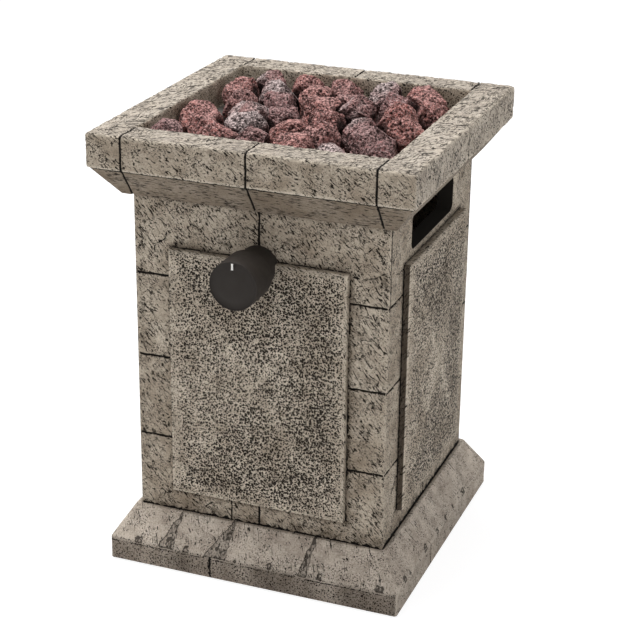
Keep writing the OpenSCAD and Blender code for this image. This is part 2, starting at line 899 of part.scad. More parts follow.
module regulator_base() {
    color(steel) at_cylinder() difference() {
        union() {
            round_bar(regulator_d, reg_disc_z, reg_disc_z + reg_base_h);
            round_bar(reg_neck_d, socket_z, reg_disc_z + eps);
        }
        round_bar(neck_d + 2 * fit_gap, socket_z - through, socket_z + thread_depth);
        round_bar(6, socket_z, reg_disc_z + reg_base_h + through);
        round_bar(regulator_d - 14, reg_disc_z + 3, reg_disc_z + reg_base_h + through);
        regulator_screw_places() round_bar(3, reg_disc_z + 1, reg_disc_z + reg_base_h + through);
    }
}

module regulator_diaphragm() {
    color(black) at_cylinder() difference() {
        round_bar(regulator_d, reg_split - diaphragm_t, reg_split);
        regulator_screw_places() round_bar(3.4, reg_split - 2 * diaphragm_t, reg_split + through);
    }
}

module regulator_cap() {
    color(steel) at_cylinder() difference() {
        union() {
            round_bar(regulator_d, reg_split, reg_split + 4);
            round_bar(regulator_d - 13, reg_split + 3, reg_top);
        }
        round_bar(regulator_d - 20, reg_split - through, reg_top - 3);
        round_bar(6, reg_split, reg_top + through);
        regulator_screw_places() round_bar(3.4, reg_split - through, reg_split + 4 + through);
    }
}

module regulator_screws() {
    color(steel) at_cylinder() regulator_screw_places()
        translate([0, 0, reg_split + 4]) mirror([0, 0, 1]) screw(3 - 2 * fit_gap, 10);
}

// Half outline of the cylinder, drawn from the neck down, set in by the wall for its inside
function cylinder_side(t) = let (
    r = cylinder_d / 2 - t,
    neck = (t > 0) ? neck_d / 2 - 6 : neck_d / 2,
    low = cylinder_z + foot_ring_h + t
) concat(
    [[0, neck_top + t * through], [neck, neck_top + t * through], [neck, shoulder_z - t]],
    [for (a = [80:-20:0])
        [neck_d / 2 + (r - neck_d / 2) * cos(a), shoulder_z - shoulder_h + (shoulder_h - t) * sin(a)]],
    [for (a = [0:-30:-90]) [r - 10 + 10 * cos(a), low + 10 + 10 * sin(a)]],
    [[0, low]]
);

module gas_cylinder() {
    ring_w = cylinder_d * 0.72;
    color("darkgreen") at_cylinder() {
        difference() {
            union() {
                rotate_extrude($fn = 96) polygon(cylinder_side(0));
                tube(ring_w, ring_w - 4, cylinder_z, cylinder_z + foot_ring_h + 1);
            }
            rotate_extrude($fn = 96) polygon(cylinder_side(cylinder_t));
        }
    }
}

module cylinder_valve() {
    d = neck_d - 12;
    color(brass) at_cylinder() difference() {
        round_bar(d - 2 * fit_gap, neck_top - 14, neck_top - 1);
        round_bar(4, neck_top - 6, neck_top + through);
    }
}

// ---- Lava rock ----

// A repeatable number from -1 to 1
function noise(i, k) = rands(-1, 1, 1, rock_seed * 1009 + i * 37 + k * 7919)[0];

lower_count = floor(pan_w / rock_pitch);
upper_rows = round(opening_w / rock_pitch);
upper_pitch = (opening_w - 4) / upper_rows;

// Height that a lower rock stands on: the burner, or the pan's floor
function bed(x, y, r) =
    norm([x, y]) < ring_d / 2 + tube_d / 2 + r + 1 ? burner_top : pan_floor;

// Each rock is [x, y, z, radius, shape number]
lower_rocks = [for (i = [0:lower_count - 1], j = [0:lower_count - 1])
    let (
        n = i * lower_count + j,
        mid = (lower_count - 1) / 2,
        x = (i - mid) * rock_pitch + 2.5 * noise(n, 1),
        y = (j - mid) * rock_pitch + 2.5 * noise(n, 2),
        on_burner = bed(x, y, rock_floor_r) > pan_floor,
        r = rock_floor_r * (on_burner ? 0.84 : 1.04) * (1 + 0.05 * noise(n, 3))
    )
    [x, y, bed(x, y, rock_floor_r) + 0.8 * r, r, n]];

upper_rocks = [for (j = [0:upper_rows - 1])
    let (in_row = upper_rows - j % 2)
    for (i = [0:in_row - 1])
        let (
            n = 100 + j * upper_rows + i,
            x = (i - (in_row - 1) / 2) * upper_pitch + 5 * noise(n, 1),
            y = (j - (upper_rows - 1) / 2) * upper_pitch + 5 * noise(n, 2),
            r = upper_pitch * (0.65 + 0.09 * noise(n, 3)),
            crown = total_h + 9 - 7 * pow(max(abs(x), abs(y)) / opening_w * 2, 2)
        )
        [x, y, crown - 0.84 * r + 2.5 * noise(n, 4), r, n]];

all_rocks = concat(lower_rocks, upper_rocks);

// The planes that a rock has to stay behind, each [direction outward, distance from its centre]
function neighbour_planes(a) = [for (b = all_rocks)
    let (d = norm([b[0] - a[0], b[1] - a[1], b[2] - a[2]]))
    if (d > 1 && d < 1.5 * (a[3] + b[3]))
        [[b[0] - a[0], b[1] - a[1], b[2] - a[2]] / d,
            (d * d + a[3] * a[3] - b[3] * b[3]) / (2 * d) - rock_gap]];

function wall_planes(a, half) = [
    [[1, 0, 0], half - a[0]], [[-1, 0, 0], half + a[0]],
    [[0, 1, 0], half - a[1]], [[0, -1, 0], half + a[1]]
];

function sensor_planes(a) = [for (sx = [-1, 1])
    let (
        v = [sx * sensor_x - a[0], sensor_y - a[1], 0],
        d = norm(v)
    )
    if (d < a[3] + sensor_collar_d) [v / d, d - sensor_collar_d / 2 - seat_gap]];

function lower_planes(a) = concat(
    [[[0, 0, -1], a[2] - bed(a[0], a[1], rock_floor_r) - seat_gap]],
    wall_planes(a, pan_w / 2 - seat_gap),
    sensor_planes(a),
    neighbour_planes(a)
);

function screw_planes(a) = let (
    v = [sign(a[0]) * pan_screw_at, sign(a[1]) * pan_screw_at, pan_top + head_h(pan_screw_d) / 2]
        - [a[0], a[1], a[2]],
    d = norm(v)
) d < 1.3 * a[3] + pan_screw_d ? [[v / d, d - pan_screw_d - seat_gap]] : [];

// An upper rock that reaches past the pan's wall stands on its flange
function upper_bed(a) = max(abs(a[0]), abs(a[1])) + 1.2 * a[3] > pan_w / 2 ? pan_top : tip_top + 1;

// Flat faces that an upper rock broke along, on its upper side
function broken_planes(a) = [for (k = [1:rock_breaks])
    let (
        turn = 360 * k * 0.382 + 40 * noise(a[4], 40 + k),
        rise = (k - 0.5) / rock_breaks,
        flat = sqrt(1 - rise * rise)
    )
    [[flat * cos(turn), flat * sin(turn), rise], a[3] * (0.78 + 0.1 * noise(a[4], 60 + k))]];

function upper_planes(a) = concat(
    [[[0, 0, -1], a[2] - upper_bed(a) - seat_gap]],
    screw_planes(a),
    wall_planes(a, opening_w / 2 - seat_gap),
    neighbour_planes(a),
    broken_planes(a)
);

// How far the rock's surface is from its centre in one direction
function reach(dir, r, planes, i, k) = let (
    rough = 1 + 0.09 * noise(i, 20 + k),
    lie = 180 * noise(i, 6),
    stretch = 1 + 0.16 * noise(i, 5) * pow(dir[0] * cos(lie) + dir[1] * sin(lie), 2)
        - 0.12 * dir[2] * dir[2]
) min(concat(
    [r * rough * stretch],
    [for (p = planes) let (c = p[0] * dir) if (c > 0.02) p[1] / c]
));

function rock_directions() = concat(
    [[0, 0, -1]],
    [for (i = [1:rock_rings], k = [0:rock_sides - 1])
        let (
            up = -90 + 180 * i / (rock_rings + 1),
            turn = 360 * (k + 0.5 * (i % 2)) / rock_sides
        )
        [cos(up) * cos(turn), cos(up) * sin(turn), sin(up)]],
    [[0, 0, 1]]
);

function rock_faces() = let (
    top = rock_rings * rock_sides + 1,
    at = function (i, k) 1 + (i - 1) * rock_sides + (k + rock_sides) % rock_sides
) concat(
    [for (k = [0:rock_sides - 1]) [0, at(1, k), at(1, k + 1)]],
    [for (i = [1:rock_rings - 1], k = [0:rock_sides - 1])
        let (shift = i % 2)
        each [
            [at(i, k), at(i + 1, k + shift), at(i, k + 1)],
            [at(i + 1, k + shift - 1), at(i + 1, k + shift), at(i, k)]
        ]],
    [for (k = [0:rock_sides - 1]) [at(rock_rings, k + 1), at(rock_rings, k), top]]
);

module rock(a, planes) {
    dirs = rock_directions();
    centre = [a[0], a[1], a[2]];
    polyhedron(
        [for (k = [0:len(dirs) - 1]) centre + reach(dirs[k], a[3], planes, a[4], k) * dirs[k]],
        rock_faces()
    );
}

module lava_rocks_lower() {
    color([0.36, 0.2, 0.2]) for (a = lower_rocks) rock(a, lower_planes(a));
}

module lava_rocks_upper() {
    color([0.45, 0.25, 0.24]) for (a = upper_rocks) rock(a, upper_planes(a));
}

plinth();
column();
top_frame();
rubber_feet();
guide_plate();
guide_plate_screws();
burner_pan();
pan_screws();
burner_ring();
burner_nut();
mixer_tube();
air_shutter();
gas_jet();
jet_elbow();
heat_shield();
shield_posts();
shield_screws();
igniter_insulator();
igniter_tip();
igniter_lead();
piezo_unit();
thermocouple();
thermocouple_lead();
gas_pipe();
pipe_nuts();
valve_bracket();
bracket_screws();
valve_block();
valve_bonnet();
bonnet_nut();
valve_plug();
control_stem();
stem_spring();
knob_collar();
knob();
knob_pointer();
regulator_base();
regulator_diaphragm();
regulator_cap();
regulator_screws();
gas_cylinder();
cylinder_valve();
lava_rocks_lower();
lava_rocks_upper();
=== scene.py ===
"""Looks of the tabletop gas fire pit: weathered cast stone, lava rocks, a black knob and the gas
parts inside. Sizes are in millimetres, and meshes are written in metres."""

import json
import logging
import math
from dataclasses import dataclass, field
from enum import Enum
from functools import cache

import bmesh
import bpy
import numpy as np
from mathutils import Matrix, Vector


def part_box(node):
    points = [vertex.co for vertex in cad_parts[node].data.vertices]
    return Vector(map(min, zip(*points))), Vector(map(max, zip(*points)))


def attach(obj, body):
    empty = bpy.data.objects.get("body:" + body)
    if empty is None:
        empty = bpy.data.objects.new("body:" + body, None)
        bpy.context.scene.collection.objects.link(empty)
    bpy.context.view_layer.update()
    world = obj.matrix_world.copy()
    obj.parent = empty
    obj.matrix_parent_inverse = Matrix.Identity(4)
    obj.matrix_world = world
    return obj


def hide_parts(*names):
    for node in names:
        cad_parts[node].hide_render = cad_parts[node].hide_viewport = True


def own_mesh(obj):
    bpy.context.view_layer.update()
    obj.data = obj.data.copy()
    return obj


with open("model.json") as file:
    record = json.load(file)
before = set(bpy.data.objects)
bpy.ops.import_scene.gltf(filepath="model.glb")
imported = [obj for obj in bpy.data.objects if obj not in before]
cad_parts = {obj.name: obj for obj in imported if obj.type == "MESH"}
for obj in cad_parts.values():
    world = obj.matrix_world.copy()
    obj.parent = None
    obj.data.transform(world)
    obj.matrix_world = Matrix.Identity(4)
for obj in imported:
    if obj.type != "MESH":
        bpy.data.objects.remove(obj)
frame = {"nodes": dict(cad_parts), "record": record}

MM = 0.001
REACH = 3.0  # how far from a joint or a crack its closeness still counts, in mm
JOINT_STEPS = (0.0, 0.5, 0.85, 1.3, 2.1)  # where points lie to each side of a joint, in mm
JOINT_CLEAR = 2.5  # how far from a joint the evenly spaced points stay, in mm
GROOVE_WALL = (1.3, 0.5)  # where a joint's groove starts and where it is full, in mm from its middle
GOLDEN_TURN = 2.399963  # turn from one direction to the next that spreads them evenly, in radians
GOLDEN_SHARE = 0.6180339  # step that spreads numbers evenly between 0 and 1
log = logging.getLogger("fire_pit")


class Side(Enum):
    """The four sides of the pedestal, as quarter turns about the upright axis."""

    FRONT = 0
    RIGHT = 1
    BACK = 2
    LEFT = 3


def rgb(red: int, green: int, blue: int) -> tuple[float, float, float, float]:
    """Turns a colour as it is seen on screen into the linear values that a shader takes.

    Args:
        red: Red, 0 to 255.
        green: Green, 0 to 255.
        blue: Blue, 0 to 255.

    Returns:
        The linear colour with an alpha of 1.
    """
    def linear(c: float) -> float:
        """Undoes the screen's curve for one channel."""
        return c / 12.92 if c <= 0.04045 else ((c + 0.055) / 1.055) ** 2.4
    return linear(red / 255), linear(green / 255), linear(blue / 255), 1.0


def fade(value: np.ndarray, low: np.ndarray | float, high: np.ndarray | float) -> np.ndarray:
    """Rises smoothly from 0 at low to 1 at high; low may be the larger of the two.

    Args:
        value: The numbers to map.
        low: Where the result is 0.
        high: Where the result is 1.

    Returns:
        Numbers from 0 to 1.
    """
    t = np.clip((value - low) / (high - low), 0.0, 1.0)
    return t * t * (3 - 2 * t)


def outwards(at: np.ndarray) -> np.ndarray:
    """Distance of each point from the upright axis, measured square to its side."""
    return np.maximum(np.abs(at[:, 0]), np.abs(at[:, 1]))


def from_corner(at: np.ndarray, half: float) -> np.ndarray:
    """Distance of each point, in plan, from the upright edge of a square with this half width."""
    return np.hypot(half - np.abs(at[:, 0]), half - np.abs(at[:, 1]))


# ---- Stone texture as numbers ----


class Grain:
    """Repeatable gradient noise and cell noise, used to carve meshes."""

    LEVEL = 1.7  # brings the gradient noise to about -1 to 1

    def __init__(self, seed: int) -> None:
        """Sets up the tables.

        Args:
            seed: Chooses the pattern.
        """
        rng = np.random.default_rng(seed)
        self.order = rng.permutation(256)
        slopes = rng.normal(size=(256, 3))
        self.slopes = slopes / np.linalg.norm(slopes, axis=1, keepdims=True)
        self.jitter = rng.random((256, 3))

    def corner(self, cell: np.ndarray) -> np.ndarray:
        """Gives each lattice cell its entry in the tables."""
        c = cell & 255
        first = self.order[c[:, 0]]
        second = self.order[(first + c[:, 1]) & 255]
        return self.order[(second + c[:, 2]) & 255]

    def smooth(self, at: np.ndarray) -> np.ndarray:
        """Gradient noise, about -1 to 1.

        Args:
            at: Points, one row each, in units of the pattern's size.

        Returns:
            One number for each point.
        """
        cell = np.floor(at).astype(int)
        part = at - cell
        ease = part ** 3 * (part * (part * 6 - 15) + 10)
        total = np.zeros(len(at))
        for i in range(8):  # the corners of the cell
            step = np.array([i & 1, i >> 1 & 1, i >> 2 & 1])
            slope = self.slopes[self.corner(cell + step)]
            weight = np.prod(np.where(step, ease, 1 - ease), axis=1)
            total += weight * np.einsum("ij,ij->i", part - step, slope)
        return total * self.LEVEL

    def layered(self, at: np.ndarray, octaves: int) -> np.ndarray:
        """Gradient noise with finer and weaker copies added."""
        total, share = np.zeros(len(at)), 0.0
        for i in range(octaves):
            total += self.smooth(at * 2.03 ** i + 17.3 * i) * 0.5 ** i
            share += 0.5 ** i
        return total / share

    def pores(self, at: np.ndarray) -> tuple[np.ndarray, np.ndarray]:
        """Distance to the nearest scattered point, and a random size for that point.

        Args:
            at: Points, one row each, in units of the pore spacing.

        Returns:
            The distances and the random sizes, 0 to 1.
        """
        cell = np.floor(at).astype(int)
        nearest = np.full(len(at), 9.0)
        size = np.zeros(len(at))
        for i in range(27):  # the cell and those round it
            step = np.array([i % 3, i // 3 % 3, i // 9]) - 1
            entry = self.corner(cell + step)
            gap = np.linalg.norm(cell + step + self.jitter[entry] - at, axis=1)
            closer = gap < nearest
            nearest = np.where(closer, gap, nearest)
            size = np.where(closer, self.jitter[(entry + 7) & 255, 0], size)
        return nearest, size


def flat(u: np.ndarray, v: np.ndarray, layer: np.ndarray | float = 0.0) -> np.ndarray:
    """Stacks two surface coordinates and a layer number into points for the noise."""
    return np.stack([u, v, np.full(len(u), layer)], axis=1)


def chisel(grain: Grain, u: np.ndarray, v: np.ndarray, length: float, width: float,
           layer: float) -> np.ndarray:
    """Noise drawn out along a falling diagonal, as a chisel leaves it.

    Args:
        grain: The noise to use.
        u: Distance along the stone, in mm.
        v: Distance up the stone, in mm.
        length: Length of the strokes, in mm.
        width: Width of the strokes, in mm.
        layer: Picks a different pattern.

    Returns:
        Noise, about -1 to 1.
    """
    along, across = (u - v) * 0.7071, (u + v) * 0.7071
    return grain.smooth(flat(along / length, across / width, layer))


@dataclass
class Face:
    """What is known of each point of a stone's skin while it is carved.

    u runs along the stone and v up it, in mm, and block numbers the casting's blocks. joint says how close a
    joint is, rough, cleft and brushed how strongly the face is worked in that way, edge how worn it is, and
    seen is 1 where it may be carved and 0 elsewhere.
    """

    u: np.ndarray
    v: np.ndarray
    block: np.ndarray
    joint: np.ndarray
    rough: np.ndarray | float
    cleft: np.ndarray | float
    brushed: np.ndarray | float
    edge: np.ndarray
    seen: np.ndarray


def carve_chiselled(grain: Grain, face: Face) -> tuple[np.ndarray, np.ndarray, np.ndarray]:
    """Depth, stain and tone of a chiselled stone face.

    Args:
        grain: The noise to use.
        face: The face's points.

    Returns:
        How far each point is cut back in mm, its dark stain and its tone, both 0 to 1.
    """
    u, v = face.u + 61.0 * face.block, face.v  # no block repeats its neighbour's pattern
    work = 1 - face.brushed
    swell = grain.layered(flat(u / 30, v / 22, 3.1), 3)
    patch = fade(grain.layered(flat(u / 26, v / 20, 8.4), 2), -0.3, 0.25)
    strokes = fade(chisel(grain, u, v, 8.0, 2.6, 1.7), 0.2, 0.5)
    deep = fade(chisel(grain, u, v, 12.0, 3.4, 5.3), 0.42, 0.62)
    pits = fade(grain.smooth(flat(u / 3.0, v / 3.0, 12.2)), 0.42, 0.62)
    ridge = np.abs(chisel(grain, u, v * 1.3, 13.0, 4.6, 9.9))
    cleft = (1 - fade(ridge, 0.02, 0.3)) * fade(swell, -0.35, 0.25)
    brush = grain.layered(flat(u / 24, v / 2.4, 4.4), 2)
    step = grain.jitter[(face.block.astype(int) * 31 + 5) & 255, 1]
    chip = fade(grain.layered(flat(u / 8, v / 8, 21.5), 2), 0.05, 0.5)
    depth = 0.05 + 0.22 * (swell + 0.4) * work + 0.2 * step
    depth += face.rough * work * (patch * (0.4 * strokes + 0.7 * deep) + 0.3 * pits)
    depth += face.cleft * work * (0.8 * cleft + 0.15 * strokes)
    depth += face.brushed * 0.16 * (brush + 0.6)
    depth += face.edge * (0.05 + 0.9 * chip)
    stain = face.rough * work * patch * (0.1 * strokes + 0.35 * deep + 0.1 * pits)
    stain += face.cleft * work * 0.25 * cleft
    tone = np.clip(0.5 + 0.5 * (step - 0.5) + 0.35 * grain.layered(flat(u / 40, v / 26, 6.6), 3), 0, 1)
    return np.maximum(depth, 0.0) * face.seen, np.clip(stain, 0, 1) * face.seen, tone


# ---- Meshes ----


@dataclass(frozen=True)
class Corner:
    """A corner of a stone's section and the run that leaves it: distance out, height, rounding,
    and the spacing of points along that run."""

    out: float
    up: float
    fillet: float = 0.0
    step: float = 1.4


def rounded_section(corners: list[Corner]) -> tuple[np.ndarray, np.ndarray]:
    """Walks round a closed section, rounds its corners and spaces points along it.

    Args:
        corners: The corners in order.

    Returns:
        The points (out, up), and how far along the section each lies.
    """
    points: list[Vector] = []
    count = len(corners)
    for i, corner in enumerate(corners):
        here = Vector((corner.out, corner.up))
        back = Vector((corners[i - 1].out, corners[i - 1].up)) - here
        follow, after = corners[(i + 1) % count], corners[(i + 2) % count]
        target = Vector((follow.out, follow.up))
        on = target - here
        start = here
        if corner.fillet > 0:
            reach = corner.fillet / math.tan(back.angle(on) / 2)
            first, last = here + back.normalized() * reach, here + on.normalized() * reach
            for k in range(5):
                t = k / 4
                points.append(((1 - t) ** 2) * first + 2 * t * (1 - t) * here + t * t * last)
            start = last
        else:
            points.append(here)
        if follow.fillet > 0:
            bend = (-on).angle(Vector((after.out, after.up)) - target) / 2
            target = target - on.normalized() * follow.fillet / math.tan(bend)
        length = (target - start).length
        pieces = max(1, round(length / corner.step))
        points += [start.lerp(target, k / pieces) for k in range(1, pieces)]
    ring = np.array([tuple(p) for p in points])
    gaps = np.linalg.norm(np.roll(ring, -1, axis=0) - ring, axis=1)
    ring = ring[gaps > 1e-4]
    gaps = np.linalg.norm(np.roll(ring, -1, axis=0) - ring, axis=1)
    return ring, np.concatenate([[0.0], np.cumsum(gaps)[:-1]])


def spaced(low: float, high: float, step: float, marks: list[float]) -> np.ndarray:
    """Even positions with extra ones close round each mark, where a joint is cut.

    Args:
        low: First position.
        high: Last position.
        step: Spacing.
        marks: Where the joints are.

    Returns:
        The sorted positions.
    """
    stops = sorted({low, high, *[m for m in marks if low < m < high]})
    found = [low]
    for a, b in zip(stops, stops[1:]):
        pieces = max(1, round((b - a) / step))
        found += [a + (b - a) * k / pieces for k in range(1, pieces + 1)]
    near = [m + way * d for m in marks for d in JOINT_STEPS for way in (-1, 1)]
    kept = [p for p in found if all(abs(p - m) > JOINT_CLEAR for m in marks) or p in (low, high)]
    return np.array(sorted({round(p, 4) for p in kept + [n for n in near if low < n < high]}))


def near_joint(at: np.ndarray, marks: list[float]) -> np.ndarray:
    """How close each point is to a joint: 1 on it, falling evenly to 0 at REACH."""
    found = np.zeros(len(at))
    for mark in marks:
        found = np.maximum(found, 1 - np.abs(at - mark) / REACH)
    return found


def groove(close: np.ndarray) -> np.ndarray:
    """Turns closeness to a joint into the depth of its groove, 0 to 1."""
    return fade(close, *(1 - gap / REACH for gap in GROOVE_WALL))


@dataclass
class StoneRing:
    """A square ring of cast stone, built one side at a time and joined at the mitres.

    Args:
        name: Name of the piece.
        corners: Its section.
        width: Half of its outer width.
        joints: Upright joints on each side, as distances along it.
        bend: Rounding of the outer upright edges in plan.
        step: Spacing of points along a side.
        inner_bend: Rounding of the inner upright edges in plan.
        kinked: Where the columns stop fanning out with the width, so that joints stay parallel.
        climb: 1 where the section climbs the outer face, and -1 where it comes down it.
        skin: How far in from the outer width the outer rounding holds.
    """

    name: str
    corners: list[Corner]
    width: float
    joints: dict[Side, list[float]]
    bend: float
    step: float = 1.4
    inner_bend: float = 1.5
    kinked: float = 1e9
    climb: float = 1.0
    skin: float = 30.0
    section: np.ndarray = field(init=False)
    arc: np.ndarray = field(init=False)
    columns: np.ndarray = field(init=False)

    def __post_init__(self) -> None:
        """Works out the section's points and the columns."""
        self.section, self.arc = rounded_section(self.corners)
        marks = sorted({j for side in self.joints.values() for j in side})
        self.columns = spaced(-self.width, self.width, self.step, marks)

    def side_points(self) -> tuple[np.ndarray, np.ndarray, np.ndarray]:
        """Places the grid of the side that faces -Y.

        Returns:
            The points in mm, the distance along the side and the distance along the section.
        """
        out = np.repeat(np.append(self.section[:, 0], self.section[0, 0]), len(self.columns))
        up = np.repeat(np.append(self.section[:, 1], self.section[0, 1]), len(self.columns))
        arc = np.repeat(np.append(self.arc, self.arc[-1] + 1.0), len(self.columns)) * self.climb
        t = np.tile(self.columns, len(self.section) + 1)
        hold = np.minimum(self.kinked, out - 2.0)
        kink = min(self.kinked, self.width - 2.0)
        size = np.abs(t)
        along = np.where(size <= kink, size / kink * hold,
                         hold + (size - kink) / (self.width - kink) * (out - hold))
        bend = np.where(out > self.width - self.skin, self.bend, self.inner_bend)
        turn = np.clip((along - (out - bend)) / bend, 0, 1) * math.pi / 4
        rounded = along > out - bend
        x = np.where(rounded, out - bend + bend * np.sin(turn), along)
        y = np.where(rounded, out - bend + bend * np.cos(turn), out)
        return np.stack([np.sign(t) * x, -y, up], axis=1), np.sign(t) * along, arc

    def build(self) -> bpy.types.Object:
        """Builds the closed ring with its face coordinates.

        Returns:
            The piece, with the attributes along, arc and side on its points.
        """
        points, along, arc = self.side_points()
        work = bmesh.new()
        bmesh.ops.create_grid(work, x_segments=len(self.columns) - 1, y_segments=len(self.section), size=1)
        one = bpy.data.meshes.new("one_side")
        work.to_mesh(one)
        work.free()
        one.vertices.foreach_set("co", (points * MM).ravel())
        for name, values in (("along", along), ("arc", arc)):
            one.attributes.new(name, "FLOAT", "POINT").data.foreach_set("value", values)
        one.attributes.new("side", "FLOAT", "POINT")
        used = np.zeros(len(one.loops), int)
        one.loops.foreach_get("vertex_index", used)
        one.uv_layers.new(name="face")
        whole = bmesh.new()
        for side in Side:
            one.attributes["side"].data.foreach_set("value", np.full(len(points), float(side.value)))
            uv = np.stack([along + (2 * side.value + 1) * self.width, arc], axis=1) * MM
            one.uv_layers["face"].data.foreach_set("uv", uv[used].ravel())
            before = len(whole.verts)
            whole.from_mesh(one)
            whole.verts.ensure_lookup_table()
            bmesh.ops.rotate(whole, verts=whole.verts[before:], cent=(0, 0, 0),
                             matrix=Matrix.Rotation(math.pi / 2 * side.value, 3, "Z"))
        bmesh.ops.remove_doubles(whole, verts=whole.verts, dist=2e-6)
        bmesh.ops.recalc_face_normals(whole, faces=whole.faces)
        bpy.data.meshes.remove(one)
        return as_piece(self.name, whole)


def as_piece(name: str, work: bmesh.types.BMesh, smooth: bool = True) -> bpy.types.Object:
    """Makes a piece in the scene from a finished bmesh and frees it.

    Args:
        name: Name of the piece.
        work: The bmesh, in metres.
        smooth: Whether its faces are shaded smooth.

    Returns:
        The new object, at the origin.
    """
    mesh = bpy.data.meshes.new(name)
    work.to_mesh(mesh)
    work.free()
    mesh.polygons.foreach_set("use_smooth", np.full(len(mesh.polygons), smooth))
    piece = bpy.data.objects.new(name, mesh)
    bpy.context.scene.collection.objects.link(piece)
    return piece


def numbers(mesh: bpy.types.Mesh, name: str) -> np.ndarray:
    """Reads one attribute of a mesh's points."""
    found = np.zeros(len(mesh.vertices))
    mesh.attributes[name].data.foreach_get("value", found)
    return found


def places(mesh: bpy.types.Mesh) -> tuple[np.ndarray, np.ndarray]:
    """Reads a mesh's points in mm and their normals."""
    co, normal = np.zeros(len(mesh.vertices) * 3), np.zeros(len(mesh.vertices) * 3)
    mesh.vertices.foreach_get("co", co)
    mesh.vertex_normals.foreach_get("vector", normal)
    return co.reshape(-1, 3) / MM, normal.reshape(-1, 3)


def put_marks(mesh: bpy.types.Mesh, name: str, *channels: np.ndarray | float) -> None:
    """Stores up to four masks as one colour attribute that the materials read.

    Args:
        mesh: The mesh.
        name: Name of the attribute.
        channels: Masks for red, green, blue and alpha, 0 to 1.
    """
    stack = np.zeros((len(mesh.vertices), 4), np.float32)
    stack[:, 3] = 1
    for i, channel in enumerate(channels):
        stack[:, i] = np.clip(channel, 0, 1)
    mesh.attributes.new(name, "FLOAT_COLOR", "POINT").data.foreach_set("color", stack.ravel())


def cut_back(mesh: bpy.types.Mesh, depth: np.ndarray) -> None:
    """Moves each point inward along its normal by a depth in mm."""
    co, normal = places(mesh)
    mesh.vertices.foreach_set("co", ((co - normal * depth[:, None]) * MM).ravel())
    mesh.update()


def drop_helpers(mesh: bpy.types.Mesh) -> None:
    """Removes the attributes that only the carving needed."""
    for name in ("along", "arc", "side"):
        if name in mesh.attributes:
            mesh.attributes.remove(mesh.attributes[name])


def block_numbers(along: np.ndarray, side: np.ndarray, joints: dict[Side, list[float]]) -> np.ndarray:
    """Numbers the blocks that the upright joints leave.

    Args:
        along: Distance along the side, in mm.
        side: Which side each point is on.
        joints: The upright joints of each side.

    Returns:
        One block number for each point.
    """
    block = np.zeros(len(along))
    for at in Side:
        mine = side == at.value
        block[mine] = 7 * at.value + np.searchsorted(np.array(sorted(joints[at])), along[mine])
    return block


def joint_mask(along: np.ndarray, side: np.ndarray, joints: dict[Side, list[float]]) -> np.ndarray:
    """Masks the upright joints of every side."""
    found = np.zeros(len(along))
    for at in Side:
        mine = side == at.value
        found[mine] = near_joint(along[mine], joints[at])
    return found


# ---- Shader node groups ----


